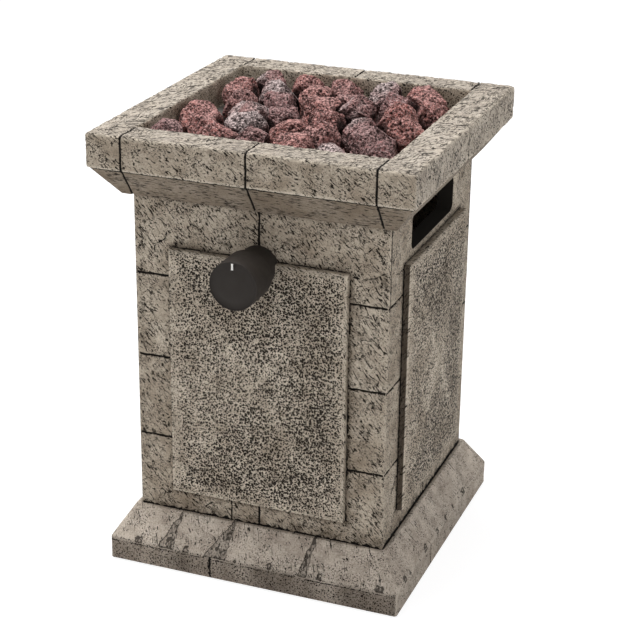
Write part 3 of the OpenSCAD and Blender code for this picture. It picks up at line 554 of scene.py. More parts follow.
class Wiring:
    """Shorthand for adding and linking nodes in one tree."""

    def __init__(self, tree: bpy.types.NodeTree) -> None:
        """Takes the tree to work in."""
        self.tree = tree

    def add(self, kind: str, **settings: object) -> bpy.types.Node:
        """Adds a node and sets its properties and inputs.

        Args:
            kind: The node's type.
            settings: Properties by name, and inputs by name or as i0, i1 and so on; a socket links.

        Returns:
            The node.
        """
        node = self.tree.nodes.new(kind)
        for name, value in settings.items():
            if name[0] == "i" and name[1:].isdigit():
                self.feed(node.inputs[int(name[1:])], value)
            elif name in node.inputs:
                self.feed(node.inputs[name], value)
            elif name.replace("_", " ") in node.inputs:
                self.feed(node.inputs[name.replace("_", " ")], value)
            else:
                setattr(node, name, value)
        return node

    def feed(self, socket: bpy.types.NodeSocket, value: object) -> None:
        """Links a socket to an input, or sets the input's value."""
        if isinstance(value, bpy.types.NodeSocket):
            self.tree.links.new(value, socket)
        else:
            socket.default_value = value

    def math(self, operation: str, *values: object) -> bpy.types.NodeSocket:
        """Adds a Math node and returns its result."""
        node = self.add("ShaderNodeMath", operation=operation)
        for socket, value in zip(node.inputs, values):
            self.feed(socket, value)
        return node.outputs[0]

    def times(self, first: object, *others: object) -> bpy.types.NodeSocket:
        """Multiplies values."""
        for other in others:
            first = self.math("MULTIPLY", first, other)
        return first

    def most(self, first: object, *others: object) -> bpy.types.NodeSocket:
        """Takes the largest of several values."""
        for other in others:
            first = self.math("MAXIMUM", first, other)
        return first

    def ramp(self, value: object, low: float, high: float, to_low: float = 0.0,
             to_high: float = 1.0) -> bpy.types.NodeSocket:
        """Maps a value smoothly from one range to another, and clamps it."""
        node = self.add("ShaderNodeMapRange", interpolation_type="SMOOTHSTEP")
        for socket, given in zip(node.inputs, (value, low, high, to_low, to_high)):
            self.feed(socket, given)
        return node.outputs[0]

    def mix(self, share: object, first: object, second: object, blend: str = "MIX") -> bpy.types.NodeSocket:
        """Mixes two colours and returns the result."""
        node = self.add("ShaderNodeMix", data_type="RGBA", blend_type=blend)
        self.feed(node.inputs[0], share)
        self.feed(node.inputs[6], first)
        self.feed(node.inputs[7], second)
        return node.outputs[2]

    def shaded(self, colour: object, by: bpy.types.NodeSocket) -> bpy.types.NodeSocket:
        """Multiplies a colour by a number."""
        grey = self.add("ShaderNodeCombineColor", Red=by, Green=by, Blue=by).outputs[0]
        return self.mix(1.0, colour, grey, "MULTIPLY")

    def noise(self, at: object, scale: float, detail: float = 2.0, rough: float = 0.5,
              twist: float = 0.0) -> bpy.types.NodeSocket:
        """Adds a Noise Texture and returns its value, about 0.5 in the middle."""
        return self.add("ShaderNodeTexNoise", Vector=at, Scale=scale, Detail=detail, Roughness=rough,
                        Distortion=twist).outputs[0]

    def ragged(self, at: object, scale: float, amount: float) -> bpy.types.NodeSocket:
        """Noise about 0 that frays the outline of a mask."""
        return self.times(self.math("SUBTRACT", self.noise(at, scale, 2.0), 0.5), amount)

    def scaled(self, at: object, size: object) -> bpy.types.NodeSocket:
        """Divides coordinates by the size of a pattern."""
        share = self.math("DIVIDE", 1.0, size)
        return self.add("ShaderNodeVectorMath", operation="SCALE", i0=at, Scale=share).outputs[0]

    def bent(self, at: object, scale: float, detail: float, amount: float) -> bpy.types.NodeSocket:
        """Shifts coordinates by noise, so that the cells of a pattern lose their even shape."""
        shift = self.add("ShaderNodeTexNoise", Vector=at, Scale=scale, Detail=detail).outputs[1]
        return self.add("ShaderNodeVectorMath", operation="MULTIPLY_ADD", i0=shift, i1=(amount,) * 3,
                        i2=at).outputs[0]

    def drawn_out(self, at: object, turn: object, length: object, width: object,
                  depth: object = 1.0) -> bpy.types.NodeSocket:
        """Turns coordinates about Z and divides them, so that a pattern is drawn out along its length."""
        turned = self.add("ShaderNodeVectorRotate", rotation_type="Z_AXIS", Vector=at, Angle=turn).outputs[0]
        x, y, z = self.add("ShaderNodeSeparateXYZ", Vector=turned).outputs
        return self.add("ShaderNodeCombineXYZ", X=self.math("DIVIDE", x, length), Y=self.math("DIVIDE", y, width),
                        Z=self.math("DIVIDE", z, depth)).outputs[0]

    def bump(self, height: object, distance: float, strength: float = 1.0) -> bpy.types.NodeSocket:
        """Turns a height into a normal."""
        return self.add("ShaderNodeBump", Height=height, Distance=distance, Strength=strength).outputs[0]

    def place(self) -> bpy.types.NodeSocket:
        """The object coordinates of the piece."""
        return self.add("ShaderNodeTexCoord").outputs["Object"]

    def uv(self) -> bpy.types.NodeSocket:
        """The piece's own face coordinates."""
        return self.add("ShaderNodeUVMap", uv_map="face").outputs[0]

    def marks(self, name: str) -> tuple[bpy.types.NodeSocket, ...]:
        """Splits the piece's painted masks into red, green, blue and alpha."""
        read = self.add("ShaderNodeAttribute", attribute_name=name)
        split = self.add("ShaderNodeSeparateColor", Color=read.outputs["Color"])
        return (*split.outputs, read.outputs["Alpha"])


class Effects:
    """The node groups that the finishes share, each built once."""

    @staticmethod
    def start(name: str, inputs: dict[str, float], outputs: list[str]) -> tuple:
        """Starts a group with a Vector input, named number inputs and number outputs.

        Args:
            name: Name of the group.
            inputs: Number inputs and their defaults.
            outputs: Names of the number outputs.

        Returns:
            The tree, its wiring, the sockets that it is given and the sockets of its result.
        """
        tree = bpy.data.node_groups.new(name, "ShaderNodeTree")
        tree.interface.new_socket("Vector", in_out="INPUT", socket_type="NodeSocketVector")
        for key, value in inputs.items():
            tree.interface.new_socket(key, in_out="INPUT", socket_type="NodeSocketFloat").default_value = value
        for key in outputs:
            tree.interface.new_socket(key, in_out="OUTPUT", socket_type="NodeSocketFloat")
        wiring = Wiring(tree)
        return tree, wiring, wiring.add("NodeGroupInput").outputs, wiring.add("NodeGroupOutput").inputs

    @staticmethod
    @cache
    def diagonal_strokes() -> bpy.types.NodeTree:
        """Short dark strokes on a falling diagonal, gathered in patches; sizes in metres."""
        tree, w, given, result = Effects.start(
            "diagonal_strokes",
            {"Length": 0.008, "Width": 0.0018, "Amount": 0.5, "Patch": 0.03, "Slant": 0.785}, ["Mask"])
        drawn = w.drawn_out(given["Vector"], given["Slant"], given["Length"], given["Width"])
        streak = w.noise(drawn, 1.0, 1.5, 0.5, 0.2)
        patch = w.noise(w.scaled(given["Vector"], given["Patch"]), 1.0, 2.0)
        limit = w.math("SUBTRACT", 0.72, w.times(given["Amount"], 0.28))
        limit = w.math("SUBTRACT", limit, w.times(w.math("SUBTRACT", patch, 0.5), 0.5))
        w.feed(result["Mask"], w.ramp(w.math("SUBTRACT", streak, limit), 0.0, 0.03))
        return tree

    @staticmethod
    @cache
    def speckle() -> bpy.types.NodeTree:
        """Dense pits of mixed sizes, as a bush hammer leaves; the size is in metres."""
        tree, w, given, result = Effects.start("speckle", {"Size": 0.0024, "Amount": 0.5}, ["Mask"])
        bent = w.bent(w.scaled(given["Vector"], given["Size"]), 0.9, 2.0, 1.1)
        pits = []
        for scale, least, more in ((1.0, 0.18, 0.4), (1.4, 0.12, 0.42)):
            cells = w.add("ShaderNodeTexVoronoi", voronoi_dimensions="2D", Vector=bent, Scale=scale).outputs
            chance = w.add("ShaderNodeSeparateColor", Color=cells["Color"]).outputs[0]
            reach = w.times(w.math("ADD", w.times(chance, more), least), given["Amount"])
            pits.append(w.math("SUBTRACT", reach, cells["Distance"]))
        w.feed(result["Mask"], w.ramp(w.most(*pits), -0.02, 0.05))
        return tree

    @staticmethod
    @cache
    def slate() -> bpy.types.NodeTree:
        """Thin broken layers; Edge is painted shade in the undercut at the end of each layer and Height rises
        across each layer; sizes in metres.
        """
        tree, w, given, result = Effects.start(
            "slate", {"Length": 0.022, "Width": 0.008, "Turn": -0.85, "Layers": 4.5}, ["Height", "Edge"])
        drawn = w.drawn_out(given["Vector"], given["Turn"], given["Length"], given["Width"], given["Length"])
        part = w.math("FRACT", w.times(w.noise(drawn, 1.0, 3.0, 0.55, 0.3), given["Layers"]))
        broken = w.ramp(w.noise(drawn, 1.7, 2.0), 0.4, 0.5)
        w.feed(result["Height"], w.times(w.ramp(part, 0.0, 0.9), broken))
        w.feed(result["Edge"], w.times(w.ramp(part, 0.3, 0.12), broken))
        return tree

    @staticmethod
    @cache
    def fine_grain() -> bpy.types.NodeTree:
        """Even sandy grain, and clouds 25 times its size; the size is in metres."""
        tree, w, given, result = Effects.start("fine_grain", {"Size": 0.001}, ["Grain", "Cloud"])
        fine = w.scaled(given["Vector"], given["Size"])
        w.feed(result["Grain"], w.noise(fine, 1.0, 2.0, 0.6))
        w.feed(result["Cloud"], w.noise(w.scaled(fine, 25.0), 1.0, 4.0, 0.6))
        return tree

    @staticmethod
    def use(w: Wiring, tree: bpy.types.NodeTree, **values: object) -> bpy.types.bpy_prop_collection:
        """Places a group in a material with its own values and returns its outputs."""
        node = w.add("ShaderNodeGroup", node_tree=tree)
        for name, value in values.items():
            w.feed(node.inputs[name], value)
        return node.outputs


def new_material(name: str) -> tuple[bpy.types.Material, Wiring, bpy.types.Node]:
    """Starts a material with a Principled BSDF.

    Args:
        name: Name of the material.

    Returns:
        The material, its wiring and the shader node.
    """
    material = bpy.data.materials.new(name)
    material.use_nodes = True
    material.node_tree.nodes.clear()
    w = Wiring(material.node_tree)
    shader = w.add("ShaderNodeBsdfPrincipled")
    w.add("ShaderNodeOutputMaterial", Surface=shader.outputs[0])
    return material, w, shader


# ---- Finishes ----


@dataclass(frozen=True)
class CastStone:
    """Coloured cement cast in a stone mould, rubbed with dark stain that stays in the hollows."""

    name: str = "cast_stone"
    pale: tuple = rgb(207, 195, 177)
    warm: tuple = rgb(154, 140, 122)
    stain: tuple = rgb(34, 25, 18)
    brown: tuple = rgb(92, 77, 61)
    grey: tuple = rgb(194, 188, 181)
    deepest: tuple = rgb(22, 16, 11)
    black: tuple = rgb(12, 9, 7)
    slant: float = 50.0
    strokes: float = 0.42
    speck: float = 0.0025
    long_marks: float = 0.12
    line_fray: float = 2.0
    slate_turn: float = -0.85
    slate_width: float = 0.008
    crumble: float = 0.0

    def dark_marks(self, w: Wiring, face: bpy.types.NodeSocket, bushed: bpy.types.NodeSocket,
                   brushed: bpy.types.NodeSocket) -> bpy.types.NodeSocket:
        """Adds the strokes, scratches, dots, specks and level brush marks that hold dark stain.

        Args:
            w: The material's wiring.
            face: The face coordinates.
            bushed: How strongly the face is bush hammered, 0 to 1.
            brushed: How strongly it is brushed along its length, 0 to 1.

        Returns:
            One mask, 0 to 1.
        """
        strokes, slant = Effects.diagonal_strokes(), math.radians(self.slant)
        found = [Effects.use(w, strokes, Vector=face, Length=long, Width=wide, Amount=amount, Patch=patch,
                             Slant=slant + turn)["Mask"]
                 for long, wide, amount, patch, turn in (
                     (0.0066, 0.0019, self.strokes, 0.016, 0.0), (0.0034, 0.0017, self.strokes, 0.010, -0.3),
                     (0.0200, 0.0017, self.long_marks, 0.040, 0.15))]
        dots = Effects.use(w, Effects.speckle(), Vector=face, Size=0.0028, Amount=0.45)["Mask"]
        found.append(w.times(dots, w.ramp(w.noise(face, 55.0, 2.0), 0.42, 0.56)))
        chiselled = w.times(w.most(*found), w.ramp(brushed, 0.7, 0.3), w.ramp(bushed, 0.5, 0.25),
                            w.ramp(w.noise(face, 210.0, 2.0), 0.38, 0.56, 0.45, 1.0))
        level = Effects.use(w, strokes, Vector=face, Length=0.0075, Width=0.0017, Amount=0.6, Patch=0.02,
                            Slant=0.06)["Mask"]
        level = w.times(level, w.ramp(w.noise(face, 170.0, 2.0), 0.35, 0.62, 0.3, 0.95), w.ramp(brushed, 0.2, 0.6))
        specks = Effects.use(w, Effects.speckle(), Vector=face, Size=self.speck, Amount=bushed)["Mask"]
        return w.most(chiselled, w.times(specks, w.ramp(bushed, 0.12, 0.3)), level)

    def build(self) -> bpy.types.Material:
        """Builds the material; it reads the masks marks (stain with painted shade, nearness to joints and to
        painted shade lines, edge wear with painted highlight) and finish (bushed, brushed, tone, broken).

        Returns:
            The material.
        """
        material, w, shader = new_material(self.name)
        face = w.uv()
        stain, near, edge, _ = w.marks("marks")
        bushed, brushed, tone, broken = w.marks("finish")
        grain = Effects.use(w, Effects.fine_grain(), Vector=face, Size=0.0016)
        slate = Effects.use(w, Effects.slate(), Vector=w.place(), Width=self.slate_width, Turn=self.slate_turn)
        # flakes: the raised layers, also painted lighter as highlight
        flakes = w.times(slate["Height"], broken)
        # frayed and outline: painted shade along the steps at the edges of the broken patches, on the plinth only
        # through crumble
        frayed = w.math("ADD", broken, w.ragged(face, 320.0, 0.35))
        outline = w.times(w.ramp(frayed, 0.14, 0.24), w.ramp(frayed, 0.52, 0.42), self.crumble)
        # slate Edge adds painted shade in the layers' undercuts
        dark = w.most(self.dark_marks(w, face, bushed, brushed), w.times(slate["Edge"], broken, 0.95), outline)
        # gap: nearness to joints and to the painted shade lines, frayed; the black layer below paints them
        gap = w.math("ADD", w.times(w.math("SUBTRACT", 1.0, near), REACH), w.ragged(face, 240.0, self.line_fray))
        cloud = w.ramp(grain["Cloud"], 0.34, 0.66)
        colour = w.mix(w.times(w.math("ADD", cloud, tone), 0.5), self.warm, self.pale)
        colour = w.shaded(colour, w.ramp(grain["Grain"], 0.25, 0.75, 0.74, 1.2))
        # stain also carries painted shade, edge also carries the rim's painted highlight, and black paints the
        # joints together with the painted shade lines
        for mask, strength, layer in (
                (w.ramp(w.noise(face, 70.0, 3.0, 0.6), 0.42, 0.68), 0.3, self.brown),
                (broken, 0.4 * (1 - self.crumble), self.grey), (flakes, 0.35, self.pale),
                (brushed, 0.3, self.brown), (stain, 0.75, self.brown), (w.times(stain, stain), 0.85, self.stain),
                (edge, 0.5, self.pale), (dark, 0.96, self.deepest), (w.ramp(gap, 1.25, 0.8), 0.97, self.black)):
            colour = w.mix(w.times(mask, strength), colour, layer)
        w.feed(shader.inputs["Base Color"], colour)
        w.feed(shader.inputs["Roughness"], w.ramp(grain["Grain"], 0.2, 0.8, 0.8, 0.95))
        shader.inputs["Specular IOR Level"].default_value = 0.2
        height = w.math("ADD", w.math("SUBTRACT", w.times(grain["Grain"], 0.5), dark), w.times(flakes, 2.2))
        w.feed(shader.inputs["Normal"], w.bump(height, 0.0007, 0.9))
        return material


@dataclass(frozen=True)
class LavaRock:
    """Porous red-brown lava, dusty on some rocks, with near-black painted shade in its pores and in the crevices
    between rocks.
    """

    name: str = "lava_rock"
    maroon: tuple = rgb(124, 84, 82)
    rust: tuple = rgb(156, 98, 90)
    dusty: tuple = rgb(182, 168, 165)
    pore: tuple = rgb(22, 13, 11)

    def build(self) -> bpy.types.Material:
        """Builds the material; it reads the mask rock (tint, pores with the painted crevice shade, dust).

        Returns:
            The material.
        """
        material, w, shader = new_material(self.name)
        at = w.place()
        tint, pore, dust, _ = w.marks("rock")
        grain = Effects.use(w, Effects.fine_grain(), Vector=at, Size=0.0018)
        bent = w.bent(at, 260.0, 1.0, 0.0012)
        pits, walls = [], []
        for scale, wide, share, patches in ((290.0, 0.46, 0.95, 120.0), (460.0, 0.5, 0.9, 75.0),
                                            (720.0, 0.5, 0.75, 200.0)):
            cell = w.add("ShaderNodeTexVoronoi", Vector=bent, Scale=scale, Randomness=1.0).outputs["Distance"]
            gate = w.ramp(w.noise(at, patches, 1.0), 0.46, 0.58)
            pits.append(w.times(w.ramp(cell, wide, wide * 0.45), gate, share))
            walls.append(w.times(w.ramp(cell, 0.45, 0.75), share))
        hole, ridge = w.most(*pits), w.most(*walls[1:])
        # the ridges round the pores are lightened as painted highlight, on top of the dust
        dust_and_rim_highlight = w.most(w.times(w.ramp(grain["Cloud"], 0.35, 0.6), dust), w.times(ridge, 0.45))
        colour = w.mix(w.ramp(tint, 0.1, 0.9), self.maroon, self.rust)
        colour = w.mix(w.times(dust_and_rim_highlight, 0.85), colour, self.dusty)
        colour = w.shaded(colour, w.ramp(grain["Grain"], 0.3, 0.7, 0.45, 1.6))
        # the pores and the crevices between rocks are painted near-black as shade
        colour = w.mix(w.times(w.most(pore, hole), 0.93), colour, self.pore)
        w.feed(shader.inputs["Base Color"], colour)
        w.feed(shader.inputs["Roughness"], w.ramp(grain["Grain"], 0.2, 0.8, 0.82, 0.97))
        shader.inputs["Specular IOR Level"].default_value = 0.2
        height = w.math("ADD", w.times(grain["Grain"], 0.4), w.times(ridge, 0.3))
        w.feed(shader.inputs["Normal"], w.bump(w.math("SUBTRACT", height, hole), 0.0018, 1.0))
        return material


@dataclass(frozen=True)
class Moulded:
    """Moulded or baked matt finishes: plastic, rubber, ceramic, paint and insulation."""

    name: str
    colour: tuple
    worn: tuple
    roughness: float = 0.5
    grain_size: float = 0.0006
    bump: float = 0.00006
    spread: float = 0.15
    gloss: float = 0.5

    def build(self) -> bpy.types.Material:
        """Builds the material.

        Returns:
            The material.
        """
        material, w, shader = new_material(self.name)
        grain = Effects.use(w, Effects.fine_grain(), Vector=w.place(), Size=self.grain_size)
        share = w.times(w.ramp(grain["Cloud"], 0.4, 0.75), self.spread)
        w.feed(shader.inputs["Base Color"], w.mix(share, self.colour, self.worn))
        w.feed(shader.inputs["Roughness"],
               w.ramp(grain["Cloud"], 0.3, 0.7, self.roughness - 0.05, self.roughness + 0.07))
        w.feed(shader.inputs["Normal"], w.bump(grain["Grain"], self.bump, 0.6))
        shader.inputs["Specular IOR Level"].default_value = self.gloss
        return material


@dataclass(frozen=True)
class Metal:
    """Brushed, cast or drawn metal with a grain along one axis and faint tarnish."""

    name: str
    colour: tuple
    tarnish: tuple
    roughness: float = 0.35
    stretch: tuple = (1.0, 1.0, 12.0)
    bump: float = 0.00003
    metallic: float = 1.0

    def build(self) -> bpy.types.Material:
        """Builds the material.

        Returns:
            The material.
        """
        material, w, shader = new_material(self.name)
        drawn = w.add("ShaderNodeMapping", Vector=w.place(), Scale=self.stretch).outputs[0]
        brushed = w.noise(drawn, 420.0, 3.0, 0.6)
        grain = Effects.use(w, Effects.fine_grain(), Vector=w.place(), Size=0.0012)
        share = w.ramp(grain["Cloud"], 0.45, 0.8, 0.0, 0.6)
        w.feed(shader.inputs["Base Color"], w.mix(share, self.colour, self.tarnish))
        w.feed(shader.inputs["Roughness"],
               w.ramp(brushed, 0.25, 0.75, self.roughness - 0.1, self.roughness + 0.12))
        shader.inputs["Metallic"].default_value = self.metallic
        w.feed(shader.inputs["Normal"], w.bump(brushed, self.bump, 0.5))
        return material


# ---- Sub-assemblies ----


@dataclass
class TopFrame:
    """The square stone rim with its fire opening, upright face and sloped cove."""

    half: float = 150.0
    top: float = 420.0
    face_low: float = 388.0
    cove_low: float = 361.0
    cove_half: float = 128.0
    opening: float = 116.0
    ledge: float = 392.0
    throat: float = 104.0
    socket: float = 120.8
    column_top: float = 371.0
    groove_depth: float = 1.5
    joints: dict = field(default_factory=lambda: {
        Side.FRONT: [-116.0, 0.0, 116.0], Side.BACK: [-116.0, 0.0, 116.0], Side.RIGHT: [0.0], Side.LEFT: [0.0]})

    def build(self, grain: Grain, finish: bpy.types.Material) -> bpy.types.Object:
        """Builds and carves the rim.

        Args:
            grain: The noise to carve with.
            finish: The stone finish.

        Returns:
            The piece.
        """
        ring = StoneRing("top_frame_stone", [
            Corner(self.opening, self.ledge, 0, 2.4), Corner(self.opening, self.top, 2.4, 1.4),
            Corner(self.half, self.top, 3.6, 1.4), Corner(self.half, self.face_low, 1.4, 0.9),
            Corner(self.half - 1.8, self.face_low, 0.3, 1.4), Corner(self.cove_half, self.cove_low, 1.2, 7),
            Corner(self.socket, self.cove_low, 0, 10), Corner(self.socket, self.column_top, 0, 17),
            Corner(self.throat, self.column_top, 0, 21), Corner(self.throat, self.ledge, 0, 12),
        ], self.half, self.joints, bend=2.6, step=1.45, kinked=116.0, climb=-1.0)
        piece = ring.build()
        mesh = piece.data
        at, normal = places(mesh)
        along, side, arc = (numbers(mesh, name) for name in ("along", "side", "arc"))
        out, up, flank = outwards(at), at[:, 2], side % 2 == 1
        top = fade(normal[:, 2], 0.5, 0.9) * (up > self.top - 5)
        wall = (out < self.opening + 1.5) & (up < self.top - 3)
        cove = fade(up, self.face_low - 0.2, self.face_low - 1.4) * (out > self.socket + 0.2)
        hidden = (out < self.socket + 0.7) & (up < self.ledge - 1)
        seen = (out > self.opening - 0.5) & (up > self.cove_low - 0.5) & ~hidden
        wander = 0.2 * grain.smooth(flat(arc / 8, side * 9.0, 41.0))
        joint = joint_mask(along + wander, side, self.joints) * (out > self.opening + 0.8) * (up > self.cove_low)
        joint *= np.where(flank, 0.95, 1.0)
        lip = np.hypot(np.maximum(self.half - out, 0), np.maximum(self.top - up, 0))
        low_lip = np.hypot(self.half - out, up - self.face_low)
        inner_lip = np.hypot(out - self.opening, self.top - up)
        corner = fade(from_corner(at, self.half), 4.0, 1.0) * (1 - cove)
        edge = np.maximum.reduce([0.8 * fade(lip, 5.0, 1.5), 0.35 * fade(low_lip, 2.5, 0.5),
                                  0.4 * fade(inner_lip, 4, 1), 0.5 * corner])
        rough = np.where(wall, 0.6, np.where(top > 0.5, 0.35, 1.0))
        cleft = np.where(top > 0.5, 1.2, np.where(flank, 0.3, 0.0))
        face = Face(along, arc, block_numbers(along, side, self.joints), joint, rough, cleft, cove * 0.6, edge,
                    seen.astype(float))
        depth, stain, tone = carve_chiselled(grain, face)
        depth = np.maximum(depth, self.groove_depth * groove(joint)) * (1 - 0.2 * cove)
        self.paint(mesh, face, stain, tone, cove, np.where(wall, 0.55, 0.0), top)
        cut_back(mesh, depth * face.seen)
        drop_helpers(mesh)
        return dress(piece, finish, "pedestal", "cast_stone", "top_frame")

    def paint(self, mesh: bpy.types.Mesh, face: Face, stain: np.ndarray, tone: np.ndarray,
              cove: np.ndarray, bushed: np.ndarray, top: np.ndarray) -> None:
        """Stores the rim's masks, with a painted shade line and a painted highlight under its upright face.

        Args:
            mesh: The rim's mesh.
            face: What is known of its points.
            stain: Dark stain.
            tone: Tone of each block.
            cove: 1 on the cove.
            bushed: How strongly each point is bush hammered.
            top: 1 on the top face.
        """
        at, _ = places(mesh)
        out, up = outwards(at), at[:, 2]
        # line: painted shade, a dark line in the step under the rim's upright face, drawn black through the joint
        # mask
        line = np.clip(1.08 - np.hypot(up - self.face_low + 0.3, out - self.half + 1.8) / REACH, 0, 1)
        line *= up < self.face_low + 0.4
        # lip: painted highlight along the lower edge of the rim's upright face, also raising the tone
        lip = fade(np.hypot(self.half - out, up - self.face_low - 0.9), 2.4, 0.8) * (1 - cove)
        flank = (np.abs(at[:, 0]) > np.abs(at[:, 1])) & (out > self.half - 3)
        # the cove is also darkened through the stain mask
        put_marks(mesh, "marks", np.maximum(stain, 0.4 * cove), np.maximum(face.joint, 0.98 * line),
                  np.maximum(face.edge * (1 - stain), lip))
        put_marks(mesh, "finish", bushed, np.maximum(cove, 0.5 * top), np.maximum(tone, lip),
                  np.maximum(top, 0.55 * flank * (1 - cove)))


@dataclass
class Column:
    """The hollow square column: its walls, with the hand slots, and the four raised panels."""

    half: float = 120.0
    inner: float = 104.0
    low: float = 42.0
    top: float = 371.0
    shown_low: float = 54.0
    shown_top: float = 361.0
    bend: float = 2.4
    panel_half: float = 84.0
    panel_low: float = 76.5
    panel_top: float = 314.5
    panel_rise: float = 7.0
    panel_crown: float = 5.0
    courses: tuple = (127.5, 207.0, 286.5)
    low_joint: float = -27.5
    slot_half: float = 61.0
    slot_low: float = 320.0
    slot_top: float = 354.0
    slot_bend: float = 8.0
    knob_up: float = 310.0
    bore: float = 10.0
    groove_depth: float = 1.5
    crack_depth: float = 0.9
    slot_wear: float = 1.3
    crack_lines: tuple = (
        ((-100, 355), (-96, 351), (-89, 344), (-81, 338)), ((-81, 358), (-78, 349)), ((-37, 358), (-37, 352)),
        ((-88, 328), (-90, 321), (-98, 316), (-101, 312), (-95, 296)),
        ((100, 336), (105, 341), (109, 336), (116, 326)), ((104, 334), (108, 330), (116, 326)),
        ((86, 311), (97, 310), (107, 313), (115, 318)), ((85, 112), (93, 108), (99, 99)),
        ((-92, 160), (-84, 152), (-91, 146), (-90, 138)), ((-61, 67), (-54, 62), (-47, 68), (-44, 64)),
        ((-100, 240), (-96, 232)), ((-96, 190), (-88, 182)), ((96, 240), (108, 226)), ((90, 170), (104, 158)),
        ((92, 270), (100, 258)), ((-60, 340), (-52, 330)))

    @property
    def slot_middle(self) -> float:
        """Height of the middle of the hand slots."""
        return (self.slot_low + self.slot_top) / 2

    @property
    def panel_front(self) -> float:
        """Where the panel's front lies on the front side, before its crown."""
        return -self.half - self.panel_rise

    @property
    def panel_middle(self) -> float:
        """Height of the middle of the panels."""
        return (self.panel_low + self.panel_top) / 2

    def blank(self) -> bpy.types.Object:
        """Builds the plain walls, opened behind the panels and cut for the slots and the valve.

        Returns:
            The object, not yet carved.
        """
        ring = StoneRing("column_walls", [
            Corner(self.inner, self.low, 0, 16), Corner(self.half, self.low, 0, 1.5),
            Corner(self.half, self.top, 0, 16), Corner(self.inner, self.top, 0, 40),
        ], self.half, {side: [self.low_joint, 0.0] for side in Side}, bend=self.bend, step=1.5, inner_bend=1.0)
        rows = spaced(self.low, self.top, 1.5, list(self.courses))
        outer = np.stack([np.full(len(rows), self.half), rows], axis=1)
        inner = np.array([[self.inner, z] for z in np.linspace(self.top, self.low, 8)])
        ring.section = np.concatenate([outer, inner])
        ring.arc = np.concatenate([rows, rows[-1] + 20 + (self.top - inner[:, 1])])
        piece = ring.build()
        self.open_panels(piece)
        self.cut_slots(piece)
        return piece

    def walls(self, grain: Grain, finish: bpy.types.Material) -> bpy.types.Object:
        """Builds and carves the walls.

        Args:
            grain: The noise to carve with.
            finish: The stone finish.

        Returns:
            The piece.
        """
        piece = self.blank()
        mesh = piece.data
        at, _ = places(mesh)
        side = self.side_of(at)
        along, up, out, flank = self.along(at, side), at[:, 2], outwards(at), side % 2 == 1
        skin = (out > self.half - 0.6) & (up > self.shown_low - 6) & (up < self.shown_top + 4)
        behind = (np.abs(along) < self.panel_half - 2) & (up > self.panel_low + 2) & (up < self.panel_top - 2)
        # the hand slot's tunnel through the wall is painted near-black as shade, through the joint mask
        painted_tunnel_shade = ((out < self.half - 0.8) & (out > self.inner - 0.5) & (np.abs(along) < self.slot_half + 1)
                  & (np.abs(up - self.slot_middle) < 19))
        seen = (skin & ~behind & ~painted_tunnel_shade).astype(float)
        slot = self.slot_distance(along, up) + np.where(flank, 0, 500.0)
        joint = self.joints(grain, along, up, side) * seen
        cracks = self.cracks(along, up, side) * seen
        edge = np.maximum(0.5 * fade(from_corner(at, self.half), 3.5, 1.0), 0.5 * fade(slot, 3.0, 0.3))
        course = np.searchsorted(np.array(self.courses), up)
        block = 11 * side + 3 * course + (along > 0) * (course == len(self.courses))
        rough = (1 - 0.9 * fade(slot, 4.0, 0.0)) * np.where(flank, 0.45, 1.0)
        depth, stain, tone = carve_chiselled(grain, Face(along, up, block, joint, rough, 0.1, 0.0, edge, seen))
        depth = depth * (0.35 + 0.65 * fade(self.panel_distance(along, up), 0.0, 3.0))
        depth += self.crack_depth * groove(cracks)
        depth = np.maximum(depth, self.groove_depth * groove(joint))
        depth = (depth + self.slot_wear * fade(slot, 3.2, 0.0) ** 2) * seen
        # the stain mask also takes the painted shade round the panels and under the rim, and the darkening above
        # the plinth
        stain = np.maximum(stain, self.painted_shade(grain, along, up, side))
        # painted shade lines at the plinth and panel seams, drawn black through the joint mask
        painted_shade_lines = self.painted_shade_lines(grain, along, up, side, from_corner(at, self.half))
        put_marks(mesh, "marks", stain, np.maximum.reduce([joint, cracks, painted_shade_lines * seen, painted_tunnel_shade.astype(float)]),
                  edge * (1 - stain))
        put_marks(mesh, "finish", 0.34 * flank * seen, 0.0, np.where(flank, 0.6 * tone + 0.3, tone), 0.0)
        cut_back(mesh, depth)
        drop_helpers(mesh)
        return dress(piece, finish, "pedestal", "cast_stone", "column")

    @staticmethod
    def side_of(at: np.ndarray) -> np.ndarray:
        """Tells which side each point is on."""
        wide = np.abs(at[:, 0]) > np.abs(at[:, 1])
        return np.where(wide, np.where(at[:, 0] > 0, 1, 3), np.where(at[:, 1] < 0, 0, 2))

    @staticmethod
    def along(at: np.ndarray, side: np.ndarray) -> np.ndarray:
        """Distance along the side, growing to the right as the side is seen from outside."""
        return np.choose(side, [at[:, 0], at[:, 1], -at[:, 0], -at[:, 1]])

    def panel_distance(self, along: np.ndarray, up: np.ndarray) -> np.ndarray:
        """Distance outside the panel's outline, and 0 behind it."""
        dx = np.maximum(np.abs(along) - self.panel_half, 0)
        dz = np.maximum(np.maximum(self.panel_low - up, up - self.panel_top), 0)
        return np.hypot(dx, dz)

    def slot_distance(self, along: np.ndarray, up: np.ndarray) -> np.ndarray:
        """Distance from the hand slot's outline, the same sign on both sides."""
        dx = np.abs(along) - (self.slot_half - self.slot_bend)
        dz = np.abs(up - self.slot_middle) - ((self.slot_top - self.slot_low) / 2 - self.slot_bend)
        outside = np.hypot(np.maximum(dx, 0), np.maximum(dz, 0)) + np.minimum(np.maximum(dx, dz), 0)
        return np.abs(outside - self.slot_bend)

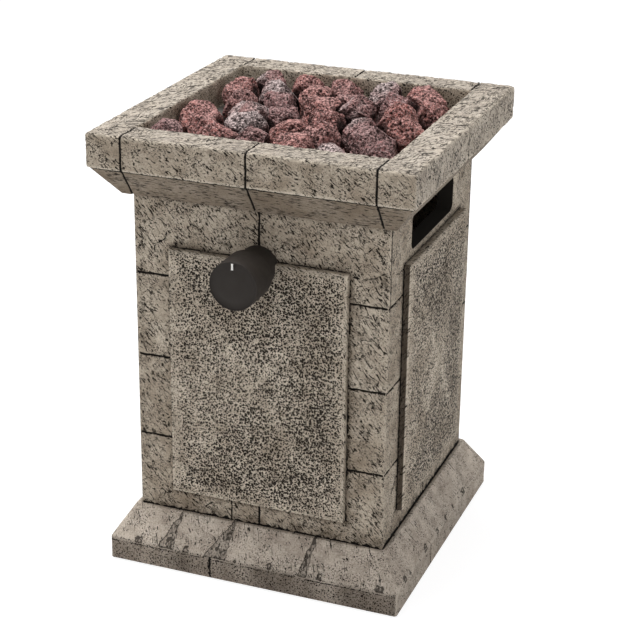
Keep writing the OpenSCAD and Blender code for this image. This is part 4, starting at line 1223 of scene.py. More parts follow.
    def joints(self, grain: Grain, along: np.ndarray, up: np.ndarray, side: np.ndarray) -> np.ndarray:
        """Masks the level joints between courses and the upright ones above and below the panels.

        Args:
            grain: The noise that makes the joints wander.
            along: Distance along the side, in mm.
            up: Height, in mm.
            side: Which side each point is on.

        Returns:
            How close each point is to a joint, 0 to 1.
        """
        levels = near_joint(up + 0.7 * grain.smooth(flat(along / 9, side * 5.0, 43.0)), list(self.courses))
        wandering = along + 0.5 * grain.smooth(flat(up / 8, side * 7.0, 44.0))
        above = near_joint(wandering, [0.0]) * (side % 2 == 0) * (up > self.panel_top)
        below = near_joint(wandering, [self.low_joint, 0.0]) * (up < self.panel_low)
        return np.clip(np.maximum.reduce([levels, above, below * np.where(along < -9, 0.86, 1)]), 0, 1)

    def painted_shade(self, grain: Grain, along: np.ndarray, up: np.ndarray, side: np.ndarray) -> np.ndarray:
        """Painted shade round the panels, strongest below them, and under the rim, and a blotchy darkening towards
        the plinth.

        Args:
            grain: The noise that breaks it up.
            along: Distance along the side, in mm.
            up: Height, in mm.
            side: Which side each point is on.

        Returns:
            Its strength, 0 to 1.
        """
        blotch = 0.5 + grain.layered(flat(along / 7, up / 7, side * 3.0), 2)
        under = up < self.panel_low
        round_panel = fade(self.panel_distance(along, up), np.where(under, 9.0, 5.0), 0.5)
        return np.maximum.reduce([
            np.where(under, 0.85, 0.6) * round_panel * np.clip(0.5 + blotch, 0, 1),
            0.5 * fade(up, self.shown_top - 5, self.shown_top),
            0.75 * fade(up, self.shown_low + 22, self.shown_low) * np.clip(blotch, 0, 1)])

    def painted_shade_lines(self, grain: Grain, along: np.ndarray, up: np.ndarray, side: np.ndarray,
              corner: np.ndarray) -> np.ndarray:
        """Painted shade lines where the walls meet the plinth and the panels, heaviest on the right side and at the
        panels' right edges, and a dark line beside the side walls' upright edges.

        Args:
            grain: The noise that makes the lines wander.
            along: Distance along the side, in mm.
            up: Height, in mm.
            side: Which side each point is on.
            corner: Distance from the nearest upright edge, in mm.

        Returns:
            How close each point is to such a line, 0 to 1.
        """
        foot = 1.0 - (up - self.shown_low + 3.0 * grain.smooth(flat(along / 6, side * 3.0, 47.0))) / REACH
        foot = foot + np.where(side == Side.RIGHT.value, 0.3, 0.0)
        over_or_under = (up < self.panel_low) | (up > self.panel_top)
        panel = np.where(along > self.panel_half, 1.06, np.where(over_or_under, 0.93, 0.74))
        panel = panel - self.panel_distance(along, up) / REACH + 0.2 * grain.smooth(flat(along / 9, up / 9, 48.0))
        beside = (1.02 - np.abs(corner - 3.4) / REACH - 0.5 * fade(up, 300, 240)) * (side % 2 == 1)
        return np.clip(np.maximum.reduce([foot, panel, beside]), 0, 1)

    def cracks(self, along: np.ndarray, up: np.ndarray, side: np.ndarray) -> np.ndarray:
        """A few cracks and undercut breaks in the blocks round the front panel and their like
        on the other sides.

        Args:
            along: Distance along the side, in mm.
            up: Height, in mm.
            side: Which side each point is on.

        Returns:
            How close each point is to a crack: 1 on it, and 0 from REACH on.
        """
        nearest = np.full(len(along), 99.0)
        for line in self.crack_lines:
            for (x0, z0), (x1, z1) in zip(line, line[1:]):
                x0, x1 = (np.where(side % 2 == 0, x, -x * 0.97) for x in (x0, x1))
                t = ((along - x0) * (x1 - x0) + (up - z0) * (z1 - z0)) / ((x1 - x0) ** 2 + (z1 - z0) ** 2)
                t = np.clip(t, 0, 1)
                nearest = np.minimum(nearest, np.hypot(along - x0 - t * (x1 - x0), up - z0 - t * (z1 - z0)))
        return np.clip(1 - (nearest + 0.4) / REACH, 0, 1)

    def open_panels(self, piece: bpy.types.Object) -> None:
        """Takes out the skin that the panels cover, and closes each place with one flat face."""
        work = bmesh.new()
        work.from_mesh(piece.data)
        hidden = []
        for f in work.faces:
            c = f.calc_center_median() / MM
            out, sideways = max(abs(c.x), abs(c.y)), min(abs(c.x), abs(c.y))
            level = self.panel_low + 4 < c.z < self.panel_top - 4
            if out > self.half - 0.2 and sideways < self.panel_half - 4 and level:
                hidden.append(f)
        bmesh.ops.delete(work, geom=hidden, context="FACES")
        rims = [e for e in work.edges if e.is_boundary]
        bmesh.ops.holes_fill(work, edges=rims, sides=0)
        bmesh.ops.recalc_face_normals(work, faces=work.faces)
        work.to_mesh(piece.data)
        work.free()
        piece.data.polygons.foreach_set("use_smooth", np.ones(len(piece.data.polygons), bool))

    def cut_slots(self, piece: bpy.types.Object) -> None:
        """Cuts the two hand slots and the valve's bore through the walls."""
        work = bmesh.new()
        made = bmesh.ops.create_cube(work, size=1)["verts"]
        bmesh.ops.scale(work, verts=made, vec=(self.half * 2.4, self.slot_half * 2, self.slot_top - self.slot_low))
        long_edges = [e for e in work.edges if abs((e.verts[0].co - e.verts[1].co).x) > 1]
        bmesh.ops.bevel(work, geom=long_edges, offset=self.slot_bend, offset_type="OFFSET", segments=8,
                        profile=0.5, affect="EDGES", material=-1)
        bmesh.ops.translate(work, verts=work.verts, vec=(0, 0, self.slot_middle))
        for cut in (self.half - 1.2, self.half - 3.5, self.inner + 6):
            for way in (-1, 1):
                bmesh.ops.bisect_plane(work, geom=work.verts[:] + work.edges[:] + work.faces[:],
                                       plane_co=(way * cut, 0, 0), plane_no=(1, 0, 0))
        bmesh.ops.scale(work, verts=work.verts, vec=(MM, MM, MM))
        slots = as_piece("slot_cutter", work, False)
        work = bmesh.new()
        bmesh.ops.create_cone(work, cap_ends=True, segments=48, radius1=self.bore * MM, radius2=self.bore * MM,
                              depth=60 * MM)
        bmesh.ops.rotate(work, verts=work.verts, cent=(0, 0, 0), matrix=Matrix.Rotation(math.pi / 2, 3, "X"))
        bmesh.ops.translate(work, verts=work.verts, vec=(0, -self.half * MM, self.knob_up * MM))
        bore = as_piece("bore_cutter", work, False)
        for cutter in (slots, bore):
            cut = piece.modifiers.new("cut", "BOOLEAN")
            cut.operation, cut.solver, cut.object = "DIFFERENCE", "EXACT", cutter
        bpy.context.view_layer.update()
        done = bpy.data.meshes.new_from_object(piece.evaluated_get(bpy.context.evaluated_depsgraph_get()))
        piece.modifiers.clear()
        old, piece.data = piece.data, done
        bpy.data.meshes.remove(old)
        for cutter in (slots, bore):
            bpy.data.objects.remove(cutter)

    def panel_blank(self, name: str) -> bpy.types.Object:
        """Builds one plain panel on the front side, with points close enough to carve.

        Args:
            name: Name of the piece.

        Returns:
            The object.
        """
        wide, tall, spacing = 2 * self.panel_half, self.panel_top - self.panel_low, 1.12
        work = bmesh.new()
        bmesh.ops.create_grid(work, x_segments=round(wide / spacing), y_segments=round(tall / spacing), size=1)
        bmesh.ops.scale(work, verts=work.verts, vec=(wide / 2, tall / 2, 1))
        bmesh.ops.rotate(work, verts=work.verts, cent=(0, 0, 0), matrix=Matrix.Rotation(math.pi / 2, 3, "X"))
        bmesh.ops.translate(work, verts=work.verts, vec=(0, self.panel_front, self.panel_middle))
        rim = [e for e in work.edges if e.is_boundary]
        for step in (1.4, 1.4, 1.6, 2.4, 2.2):
            grown = bmesh.ops.extrude_edge_only(work, edges=rim)["geom"]
            moved = [v for v in grown if isinstance(v, bmesh.types.BMVert)]
            bmesh.ops.translate(work, verts=moved, vec=(0, step, 0))
            rim = [e for e in grown if isinstance(e, bmesh.types.BMEdge) and e.is_boundary]
        bmesh.ops.holes_fill(work, edges=rim, sides=0)
        bmesh.ops.recalc_face_normals(work, faces=work.faces)
        bmesh.ops.scale(work, verts=work.verts, vec=(MM, MM, MM))
        return as_piece(name, work)

    def panel(self, side: Side, grain: Grain, finish: bpy.types.Material) -> bpy.types.Object:
        """Builds and carves one raised panel.

        Args:
            side: The side it is on.
            grain: The noise to carve with.
            finish: The stone finish.

        Returns:
            The piece.
        """
        piece = self.panel_blank(f"panel_{side.name.lower()}")
        mesh = piece.data
        at, _ = places(mesh)
        half_tall = (self.panel_top - self.panel_low) / 2
        x, z = at[:, 0], at[:, 2] - self.panel_middle
        rim_gap = np.minimum(self.panel_half - np.abs(x), half_tall - np.abs(z))
        front = fade(at[:, 1], self.panel_front + 1.0, self.panel_front)
        pyramid = 1 - np.maximum(np.abs(x) / self.panel_half, np.abs(z) / half_tall)
        offset = 37.0 * side.value
        wave = grain.layered(flat(x / 42 + offset, z / 42, 2.2), 3)
        fine = grain.layered(flat(x / 2.6 + offset, z / 2.6, 7.7), 2)
        chips = fade(grain.layered(flat(x / 7 + offset, at[:, 2] / 7, 5.5), 2), 0.1, 0.6)
        gouge = fade(chisel(grain, x + offset * 9, z, 6, 3.4, 14.2), 0.42, 0.62)
        soft = fade(rim_gap, 2.2, 0.0)
        depth = front * (0.12 + 0.2 * (wave + 0.4) + 0.28 * fade(fine, -0.2, 0.5) + 0.4 * gouge)
        depth += front * (0.9 * soft ** 2 + soft * 0.8 * chips)
        at[:, 1] += depth - self.panel_crown * pyramid * front
        inward = (1 - front) * (0.1 + 0.4 * chips * fade(at[:, 1], -self.half - 1, -self.half - 6))
        inward += 0.8 * soft ** 2 * front
        at[:, 0] -= np.sign(x) * inward * (np.abs(x) > self.panel_half - 2.4)
        at[:, 2] -= np.sign(z) * inward * (np.abs(z) > half_tall - 2.4)
        self.paint_panel(mesh, side, at, z, front, rim_gap, pyramid, wave, gouge)
        back = at[:, 1] - self.panel_front
        uv = np.stack([x + 200 + 400 * side.value + back, at[:, 2] + back], axis=1) * MM
        used = np.zeros(len(mesh.loops), int)
        mesh.loops.foreach_get("vertex_index", used)
        mesh.uv_layers.new(name="face").data.foreach_set("uv", uv[used].ravel())
        mesh.vertices.foreach_set("co", (at * MM).ravel())
        mesh.transform(Matrix.Rotation(math.pi / 2 * side.value, 4, "Z"))
        mesh.update()
        return dress(piece, finish, "pedestal", "cast_stone")

    def paint_panel(self, mesh: bpy.types.Mesh, side: Side, at: np.ndarray, z: np.ndarray, front: np.ndarray,
                    rim_gap: np.ndarray, pyramid: np.ndarray, wave: np.ndarray, gouge: np.ndarray) -> None:
        """Stores the masks of a panel, before it is turned to its side.

        Args:
            mesh: The panel's mesh.
            side: The side that it will be on.
            at: Its carved points, in mm.
            z: Height from the panel's middle, in mm.
            front: 1 on its front and 0 on its edge walls.
            rim_gap: Distance from its rim, in mm.
            pyramid: 1 at its middle and 0 at its rim.
            wave: Slow noise over the panel.
            gouge: Where a chisel went deep, 0 to 1.
        """
        x, wall = at[:, 0], 1 - front
        lean = np.abs(x) / self.panel_half - np.abs(z) / ((self.panel_top - self.panel_low) / 2)
        crown = fade(pyramid, 0.45, 1.0)
        ridge = fade(np.abs(lean + 0.1 * wave) * 70, 9, 0) * fade(pyramid, -0.1, 0.5) * 0.5
        # speck density by facet: the left facet gets fewer specks than the others, partly stain and partly painted
        # light falling from the left on the pyramid's facets
        facet_shaded_density = np.where(lean > 0, np.where(x < 0, 0.78, 0.94), 0.92) + 0.14 * wave - 0.3 * ridge
        facet_shaded_density -= 0.25 * fade(rim_gap, 16, 3) + 0.12 * crown
        bushed = np.clip(facet_shaded_density, 0.3, 1) * (1 - 0.85 * fade(rim_gap, 3.0, 1.6))
        edge = self.panel_half - 3
        facing = ((side is Side.RIGHT) & (x < -edge)) | ((side is Side.LEFT) & (x > edge))
        # deep: painted shade on the side walls towards their base, where they meet the column, with a black line
        # there
        deep = fade(at[:, 1], -self.half - 2.8, -self.half - 1.0)
        middle = fade(np.abs(at[:, 1] + self.half + 3.6), 1.9, 3.2)
        put_marks(mesh, "marks", np.maximum(wall * np.where(facing, 0.84, 0.12 + 0.5 * deep), front * 0.3 * gouge),
                  wall * np.where(facing, middle * 0.9, 0.6 * deep), fade(rim_gap, 3.0, 1.2) * front)
        put_marks(mesh, "finish", front * bushed, 0.0, 0.75 + 0.4 * wave + 0.3 * ridge + 0.3 * crown, 0.0)


@dataclass
class Plinth:
    """The stepped base, with an upright face, a sloped top and a seat for the column."""

    half: float = 142.5
    low: float = 1.5
    face_top: float = 24.0
    top: float = 54.0
    top_half: float = 124.0
    seat_half: float = 120.8
    seat: float = 42.0
    inner: float = 104.0
    guide: float = 34.0
    guide_half: float = 112.0
    joint: float = -40.5
    groove_depth: float = 1.6
    break_depth: float = 1.8
    break_strips: tuple = ((-75.0, -1.0, -13.0), (-22.0, -2.0, -19.0), (58.0, -3.0, -5.0))

    def build(self, grain: Grain, finish: bpy.types.Material) -> bpy.types.Object:
        """Builds and carves the plinth.

        Args:
            grain: The noise to carve with.
            finish: The stone finish.

        Returns:
            The piece.
        """
        joints = {side: [self.joint] for side in Side}
        ring = StoneRing("plinth_stone", [
            Corner(self.half, self.low, 0.6, 1.35), Corner(self.half, self.face_top, 2.5, 1.35),
            Corner(self.top_half, self.top, 1.5, 1.4), Corner(self.seat_half, self.top, 0, 12),
            Corner(self.seat_half, self.seat, 0, 17), Corner(self.inner, self.seat, 0, 8),
            Corner(self.inner, self.guide, 0, 8), Corner(self.guide_half, self.guide, 0, 34),
            Corner(self.guide_half, self.low, 0, 31),
        ], self.half, joints, bend=2.6, step=1.4)
        piece = ring.build()
        mesh = piece.data
        at, _ = places(mesh)
        along, side, arc = (numbers(mesh, name) for name in ("along", "side", "arc"))
        out, up, right = outwards(at), at[:, 2], side == Side.RIGHT.value
        seen = ((out > self.seat_half + 0.3) & (up > self.low + 0.4)).astype(float)
        upright = 1 - fade(up, self.face_top - 0.5, self.face_top + 1.5)
        jag = 1.6 * grain.smooth(flat(up / 4.5, side * 3.0, 45.0))
        joint = joint_mask(along + jag, side, joints) * (up < self.face_top - 0.8) * seen
        lip = np.hypot(self.half - out, up - self.face_top)
        edge = np.maximum(0.8 * fade(lip, 3.4, 0.6), 0.4 * fade(from_corner(at, self.half), 4.0, 1.0) * upright)
        face = Face(along, arc, 5 * side + (along > self.joint), joint, 0.34, 0.1, 0.25 * upright, edge, seen)
        depth, stain, tone = carve_chiselled(grain, face)
        breaks = self.breaks(grain, along, up, side)
        depth = depth * 0.8 + self.break_depth * breaks
        depth = np.maximum(depth, self.groove_depth * groove(joint)) * seen * fade(up, self.low, self.low + 3)
        # the upright faces are darkened, the right one only slightly
        upright_darkening = np.where(right, 0.1, 0.5 + 0.4 * grain.layered(flat(along / 30, side * 3.0, 46.0), 2)) * upright
        stain = np.maximum.reduce([stain * 0.6, 0.3 * breaks, upright_darkening])
        # under: a wobbly dark line just below the top edge of the upright faces, left off the right side, drawn
        # black through the joint mask
        wobble = grain.layered(flat(along / 11, side * 3.0, 49.0), 2)
        under = 0.78 + 0.25 * wobble - np.abs(up - self.face_top + 3.2 + 1.2 * wobble) / REACH
        under = np.clip(under, 0, 1) * (out > self.half - 2.5) * ~right
        put_marks(mesh, "marks", stain * seen, np.maximum(joint, under), edge * 0.8 * (1 - breaks))
        put_marks(mesh, "finish", np.where(right, 0.2, 0.5) * upright, 0.1 * seen, tone, breaks)
        cut_back(mesh, depth)
        drop_helpers(mesh)
        return dress(piece, finish, "pedestal", "cast_stone", "plinth")

    def breaks(self, grain: Grain, along: np.ndarray, up: np.ndarray, side: np.ndarray) -> np.ndarray:
        """Rough broken strips across the slope, and spalls under its edge.

        Args:
            grain: The noise to use.
            along: Distance along the side, in mm.
            up: Height, in mm.
            side: Which side each point is on.

        Returns:
            1 in a break and 0 away from it.
        """
        t = (self.top - up) / (self.top - self.face_top)
        wander = 4 * grain.smooth(flat(up / 9, side * 3.0, 2.0))
        found = np.zeros(len(along))
        for right, left, spread in self.break_strips:
            edge = right - 3.0 * t + 0.4 * wander
            gap = np.minimum(edge - along, along - (edge + left + spread * t))
            found = np.maximum(found, fade(gap, -0.8, 1.2)) * (side != Side.RIGHT.value)
        rough = 0.35 + 0.65 * fade(grain.layered(flat(along / 3.6, up / 3.6, 31.0), 2), -0.2, 0.3)
        spalls = fade(grain.smooth(flat(along / 12, side * 7.0, 3.0)), 0.1, 0.4)
        spalls *= fade(up, self.face_top + 7, self.face_top)
        return np.clip((found + spalls) * rough, 0, 1) * (up > self.face_top - 2)


@dataclass
class LavaBed:
    """The lava rocks, each roughened from its plain solid."""

    dent: float = 0.9
    pore_depth: float = 1.4
    pore_spacing: float = 4.6
    softening: int = 1
    breaks: int = 11
    gap: float = 7.0
    crevice_depth: float = 1.4
    crease_depth: float = 0.8

    def build(self, node: str, cuts: int, shares: int, grain: Grain,
              finish: bpy.types.Material) -> list[bpy.types.Object]:
        """Roughens the rocks of one layer.

        Args:
            node: The CAD node that holds them.
            cuts: Cuts along each edge of the plain rocks.
            shares: Number of pieces that the rocks are split into.
            grain: The noise to carve with.
            finish: The rock finish.

        Returns:
            The pieces.
        """
        whole = bmesh.new()
        whole.from_mesh(frame["nodes"][node].data)
        bmesh.ops.remove_doubles(whole, verts=whole.verts, dist=1e-6)
        bmesh.ops.recalc_face_normals(whole, faces=whole.faces)
        group = whole.verts.layers.float.new("number")
        count = self.number(whole, group)
        hulls = self.hulls(whole, group, count)
        pieces = []
        for share in range(shares):
            work = whole.copy()
            layer = work.verts.layers.float["number"]
            others = [v for v in work.verts if round(v[layer]) % shares != share]
            bmesh.ops.delete(work, geom=others, context="VERTS")
            bmesh.ops.subdivide_edges(work, edges=work.edges, cuts=cuts, use_grid_fill=True)
            for _ in range(self.softening):
                bmesh.ops.smooth_vert(work, verts=work.verts, factor=0.5, use_axis_x=True, use_axis_y=True,
                                      use_axis_z=True)
            bmesh.ops.recalc_face_normals(work, faces=work.faces)
            piece = as_piece(f"{node}_{share + 1}", work)
            self.roughen(piece.data, grain, hulls)
            pieces.append(dress(piece, finish, "pedestal", "lava_rock", node))
        whole.free()
        return pieces

    def hulls(self, whole: bmesh.types.BMesh, layer: bmesh.types.BMLayerItem, count: int) -> list[tuple]:
        """Collects the flat faces of each plain rock.

        Args:
            whole: All the rocks.
            layer: The layer that holds their numbers.
            count: How many rocks there are.

        Returns:
            For each rock its middle, its radius, and its faces' normals and distances, in mm.
        """
        faces: list[list] = [[] for _ in range(count)]
        points: list[list] = [[] for _ in range(count)]
        for f in whole.faces:
            n = round(f.verts[0][layer])
            faces[n].append((*f.normal, f.normal.dot(f.verts[0].co) / MM))
        for v in whole.verts:
            points[round(v[layer])].append(tuple(v.co / MM))
        found = []
        for mine, around in zip(faces, points):
            plane, cloud = np.array(mine), np.array(around)
            middle = cloud.mean(axis=0)
            found.append((middle, np.linalg.norm(cloud - middle, axis=1).max(), plane[:, :3], plane[:, 3]))
        return found

    def break_faces(self, at: np.ndarray, number: np.ndarray, grain: Grain) -> np.ndarray:
        """Flattens broken faces onto each rock, which leaves sharp arrises between them.

        Args:
            at: The rocks' points, in mm.
            number: The rock that each point belongs to.
            grain: The noise that places the faces.

        Returns:
            The moved points.
        """
        moved = at.copy()
        for n in np.unique(number).astype(int):
            mine = number == n
            middle = moved[mine].mean(axis=0)
            part = moved[mine] - middle
            for k in range(self.breaks):
                chance = grain.jitter[(n * 29 + k * 7) & 255]
                rise = np.clip(1 - 2 * (k + 0.5) / self.breaks + 0.4 * (chance[0] - 0.5), -1, 1)
                turn, level = GOLDEN_TURN * k + math.tau * grain.jitter[n & 255, 1], math.sqrt(1 - rise ** 2)
                way = np.array([math.cos(turn) * level, math.sin(turn) * level, rise])
                reach = part @ way
                over = np.maximum(reach - reach.max() * (0.68 + 0.22 * chance[2]), 0)
                part -= 0.94 * over[:, None] * way
            moved[mine] = middle + part
        return moved

    def crevices(self, at: np.ndarray, number: np.ndarray, hulls: list[tuple]) -> np.ndarray:
        """Finds where a rock's skin lies close to its neighbours.

        Args:
            at: The rocks' points, in mm.
            number: The rock that each point belongs to.
            hulls: The plain rocks, from hulls().

        Returns:
            1 against a neighbour and 0 away from it.
        """
        nearest = np.full(len(at), 99.0)
        for n in np.unique(number).astype(int):
            mine = np.flatnonzero(number == n)
            for m, (middle, radius, normals, distances) in enumerate(hulls):
                if m == n or np.linalg.norm(middle - hulls[n][0]) > radius + hulls[n][1] + self.gap:
                    continue
                close = mine[np.linalg.norm(at[mine] - middle, axis=1) < radius + self.gap]
                if len(close):
                    nearest[close] = np.minimum(nearest[close], (at[close] @ normals.T - distances).max(axis=1))
        return fade(nearest, self.gap, 0.8)

    def number(self, whole: bmesh.types.BMesh, layer: bmesh.types.BMLayerItem) -> int:
        """Writes each rock's number on its points.

        Args:
            whole: All the rocks.
            layer: The layer to write to.

        Returns:
            How many rocks there are.
        """
        whole.verts.ensure_lookup_table()
        seen, count = set(), 0
        for start in whole.verts:
            if start.index in seen:
                continue
            todo = [start]
            while todo:
                v = todo.pop()
                if v.index not in seen:
                    seen.add(v.index)
                    v[layer] = float(count)
                    todo += [e.other_vert(v) for e in v.link_edges]
            count += 1
        return count

    def roughen(self, mesh: bpy.types.Mesh, grain: Grain, hulls: list[tuple]) -> None:
        """Breaks and dents the rocks, opens their pores and stores their masks, with painted shade in the crevices
        between rocks.

        Args:
            mesh: The mesh of several rocks.
            grain: The noise to carve with.
            hulls: The plain rocks, from hulls().
        """
        at, _ = places(mesh)
        number = np.round(numbers(mesh, "number"))
        tight = self.crevices(at, number, hulls)
        mesh.vertices.foreach_set("co", (self.break_faces(at, number, grain) * MM).ravel())
        mesh.update()
        at, normal = places(mesh)
        moved = at + 37.7 * number[:, None]
        lumps = grain.layered(moved / 11.0, 3)
        creases = np.abs(grain.layered(moved / 12.0 + 40.0, 2))
        gap, size = grain.pores(moved / self.pore_spacing)
        near, small = grain.pores(moved / (self.pore_spacing * 0.6) + 11.0)
        gate = fade(grain.layered(moved / 10.0 + 70.0, 2), -0.4, 0.1)
        pore = np.clip((0.20 + 0.28 * size - gap) / 0.12, 0, 1)
        fine = np.clip((0.18 + 0.26 * small - near) / 0.15, 0, 1)
        hole = np.maximum(pore * (0.3 + 0.7 * gate), 0.8 * fine)
        depth = self.dent * (0.4 + lumps) + self.crease_depth * fade(creases, 0.12, 0.0)
        depth += self.pore_depth * hole + self.crevice_depth * tight
        tint = (number * GOLDEN_SHARE) % 1.0
        dusty = ((number * 0.377 + 0.31) % 1.0 > 0.78).astype(float)
        dust = np.clip(0.12 + 0.75 * dusty + 0.25 * fade(normal[:, 2], 0.3, 1.0), 0, 1) * (1 - tight)
        # tight: painted shade in the crevices between rocks, stored with the pores
        put_marks(mesh, "rock", tint, np.maximum(hole, 0.97 * tight), dust)
        cut_back(mesh, np.maximum(depth, 0))
        mesh.attributes.remove(mesh.attributes["number"])


@dataclass
class Control:
    """The knob on its collar, turned about the valve's axis, which lies along Y."""

    axis_up: float = 310.0
    radius: float = 22.0
    back: float = 144.0
    face: float = 178.0
    skirt_bore: float = 19.5
    skirt: float = 16.0
    hub: float = 6.4
    hub_back: float = 147.0
    bore: float = 3.1
    edge: float = 0.9
    dish: float = 0.25
    recess: float = 8.0
    collar_radius: float = 18.0
    collar_bore: float = 8.2
    collar_back: float = 120.0
    collar_front: float = 150.0
    collar_wall: float = 2.5
    collar_floor: float = 2.0

    def turned(self, name: str, section: list[tuple[float, float]], sides: int) -> bpy.types.Object:
        """Spins a closed section of (radius, distance forward) about the knob's axis.

        Args:
            name: Name of the piece.
            section: The section's points.
            sides: Number of steps round.

        Returns:
            The piece.
        """
        work = bmesh.new()
        points = [work.verts.new((r * MM, -f * MM, self.axis_up * MM)) for r, f in section]
        edges = [work.edges.new((points[i], points[(i + 1) % len(points)])) for i in range(len(points))]
        bmesh.ops.spin(work, geom=points + edges, cent=(0, 0, self.axis_up * MM), axis=(0, 1, 0),
                       angle=math.tau, steps=sides, use_merge=True)
        bmesh.ops.remove_doubles(work, verts=work.verts, dist=1e-6)
        bmesh.ops.recalc_face_normals(work, faces=work.faces)
        return as_piece(name, work)

    def rounded(self, corners: list[tuple[float, float, float]]) -> list[tuple[float, float]]:
        """Rounds the corners of a section, each given with its own radius."""
        ring = rounded_section([Corner(r, f, bend, 999) for r, f, bend in corners])[0]
        return [(max(p[0], 0.0), p[1]) for p in ring]

    def build(self, black: bpy.types.Material) -> list[bpy.types.Object]:
        """Builds the knob and its collar.

        Args:
            black: The black plastic.

        Returns:
            The pieces.
        """
        rim, low = self.back + self.skirt, self.face - self.dish
        section = self.rounded([
            (self.bore, self.hub_back, 0.3), (self.hub, self.hub_back, 0.4), (self.hub, rim, 0.8),
            (self.skirt_bore, rim, 0.8), (self.skirt_bore, self.back, 0.5), (self.radius, self.back, 0.7),
            (self.radius, self.face, self.edge)])
        section = [p for p in section if not (p[1] > self.face - 0.01 and p[0] < self.radius - self.edge)]
        section += [(self.radius * 0.62, self.face - self.dish * 0.4), (self.radius * 0.3, low), (0.0, low),
                    (0.0, self.face - self.recess), (self.bore, self.face - self.recess)]
        knob = self.turned("knob_shell", section, 112)
        inside, floor = self.collar_radius - self.collar_wall, self.collar_back + self.collar_floor
        collar = self.turned("collar_shell", self.rounded([
            (self.collar_bore, self.collar_back, 0.2), (self.collar_radius, self.collar_back, 0.3),
            (self.collar_radius, self.collar_front, 0.8), (inside, self.collar_front, 0.8), (inside, floor, 0.8),
            (self.collar_bore, floor, 0.3)]), 96)
        return [dress(knob, black, "control_knob", "black_plastic", "knob"),
                dress(collar, black, "pedestal", "black_plastic", "knob_collar")]


def dress(piece: bpy.types.Object, finish: bpy.types.Material, body: str, slot: str,
          *nodes: str) -> bpy.types.Object:
    """Gives a new piece its finish and its body, and hides the CAD nodes that it stands for.

    Args:
        piece: The piece.
        finish: Its material.
        body: The CAD body that it moves with.
        slot: The record's material slot; not used.
        nodes: The CAD nodes that it replaces.

    Returns:
        The piece.
    """
    piece.data.materials.clear()
    piece.data.materials.append(finish)
    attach(piece, body)
    if nodes:
        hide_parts(*nodes)
    log.info("%s: %d triangles", piece.name, sum(len(p.vertices) - 2 for p in piece.data.polygons))
    return piece


@dataclass
class StemSpring:
    """The coil spring round the stem, which closes up as the knob is pushed."""

    wire: float = 1.2
    wire_sides: int = 10
    turns: int = 5
    steps: int = 24
    travel: float = 3.0
    held_at: float = -92.3

    def build(self, finish: bpy.types.Material) -> bpy.types.Object:
        """Winds the spring in the place that its plain solid holds.

        Args:
            finish: The wire's finish.

        Returns:
            The piece.
        """
        low, high = (np.array(corner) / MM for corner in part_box("stem_spring"))
        reach, middle, count = (high[0] - low[0] - self.wire) / 2, (high[2] + low[2]) / 2, self.turns * self.steps
        work = bmesh.new()
        bmesh.ops.create_circle(work, cap_ends=False, radius=self.wire / 2, segments=self.wire_sides)
        bmesh.ops.translate(work, verts=work.verts, vec=(reach, low[1] + self.wire / 2, 0))
        bmesh.ops.spin(work, geom=work.verts[:] + work.edges[:], cent=(0, 0, 0), axis=(0, 1, 0), steps=count,
                       dvec=(0, (high[1] - low[1] - self.wire) / count, 0), angle=math.tau * self.turns)
        bmesh.ops.holes_fill(work, edges=[e for e in work.edges if e.is_boundary], sides=0)
        bmesh.ops.recalc_face_normals(work, faces=work.faces)
        bmesh.ops.translate(work, verts=work.verts, vec=(0, 0, middle))
        bmesh.ops.scale(work, verts=work.verts, vec=(MM, MM, MM))
        piece = dress(as_piece("wound_stem_spring", work), finish, "valve", "steel", "stem_spring")
        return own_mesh(piece)


@dataclass
class Fittings:
    """The CAD nodes that keep their own shape and get a finish each."""

    finishes: dict = field(default_factory=lambda: {
        "rubber": Moulded("rubber", rgb(34, 33, 32), rgb(62, 60, 58), 0.8, 0.0006, 0.00008),
        "black_plastic": Moulded("black_plastic", rgb(46, 41, 37), rgb(52, 47, 43), 0.6, 0.0005, 0.00003,
                                 gloss=0.22),
        "white_mark": Moulded("white_mark", rgb(236, 234, 228), rgb(214, 210, 202), 0.5),
        "ceramic": Moulded("ceramic", rgb(232, 226, 212), rgb(200, 188, 168), 0.35, 0.0009, 0.00004),
        "red_lead": Moulded("red_lead", rgb(150, 34, 28), rgb(120, 40, 32), 0.55, 0.0006, 0.00005),
        "cylinder_paint": Moulded("cylinder_paint", rgb(196, 202, 200), rgb(150, 154, 152), 0.32, 0.0016, 0.00005,
                                  0.3),
        "steel": Metal("steel", rgb(176, 174, 170), rgb(120, 110, 98), 0.34, (1, 1, 10)),
        "dark_steel": Metal("dark_steel", rgb(92, 92, 94), rgb(64, 58, 52), 0.45, (1, 1, 4)),
        "brass": Metal("brass", rgb(198, 162, 92), rgb(140, 104, 56), 0.28, (1, 1, 8)),
        "zinc_casting": Metal("zinc_casting", rgb(156, 158, 158), rgb(112, 112, 112), 0.5, (1, 1, 1), 0.00008),
        "pipe_metal": Metal("pipe_metal", rgb(184, 184, 182), rgb(140, 138, 134), 0.3, (1, 1, 1)),
        "copper_probe": Metal("copper_probe", rgb(186, 112, 78), rgb(110, 70, 54), 0.36, (1, 1, 6)),
    })

    def slots(self) -> dict[str, str]:
        """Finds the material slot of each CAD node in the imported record.

        Returns:
            Slot names by node name.
        """
        return {row["node"]: row["material_slot"] for row in frame["record"]["subparts"]}

    def build(self) -> dict[str, bpy.types.Material]:
        """Builds the finishes and puts each on the nodes of its slot.

        Returns:
            The materials by slot.
        """
        made = {name: finish.build() for name, finish in self.finishes.items()}
        for node, slot in self.slots().items():
            if slot in made:
                target = frame["nodes"][node]
                if not target.material_slots:
                    target.data.materials.append(made[slot])
                for place in target.material_slots:
                    place.material = made[slot]
                log.info("%s: %s", node, slot)
        return made


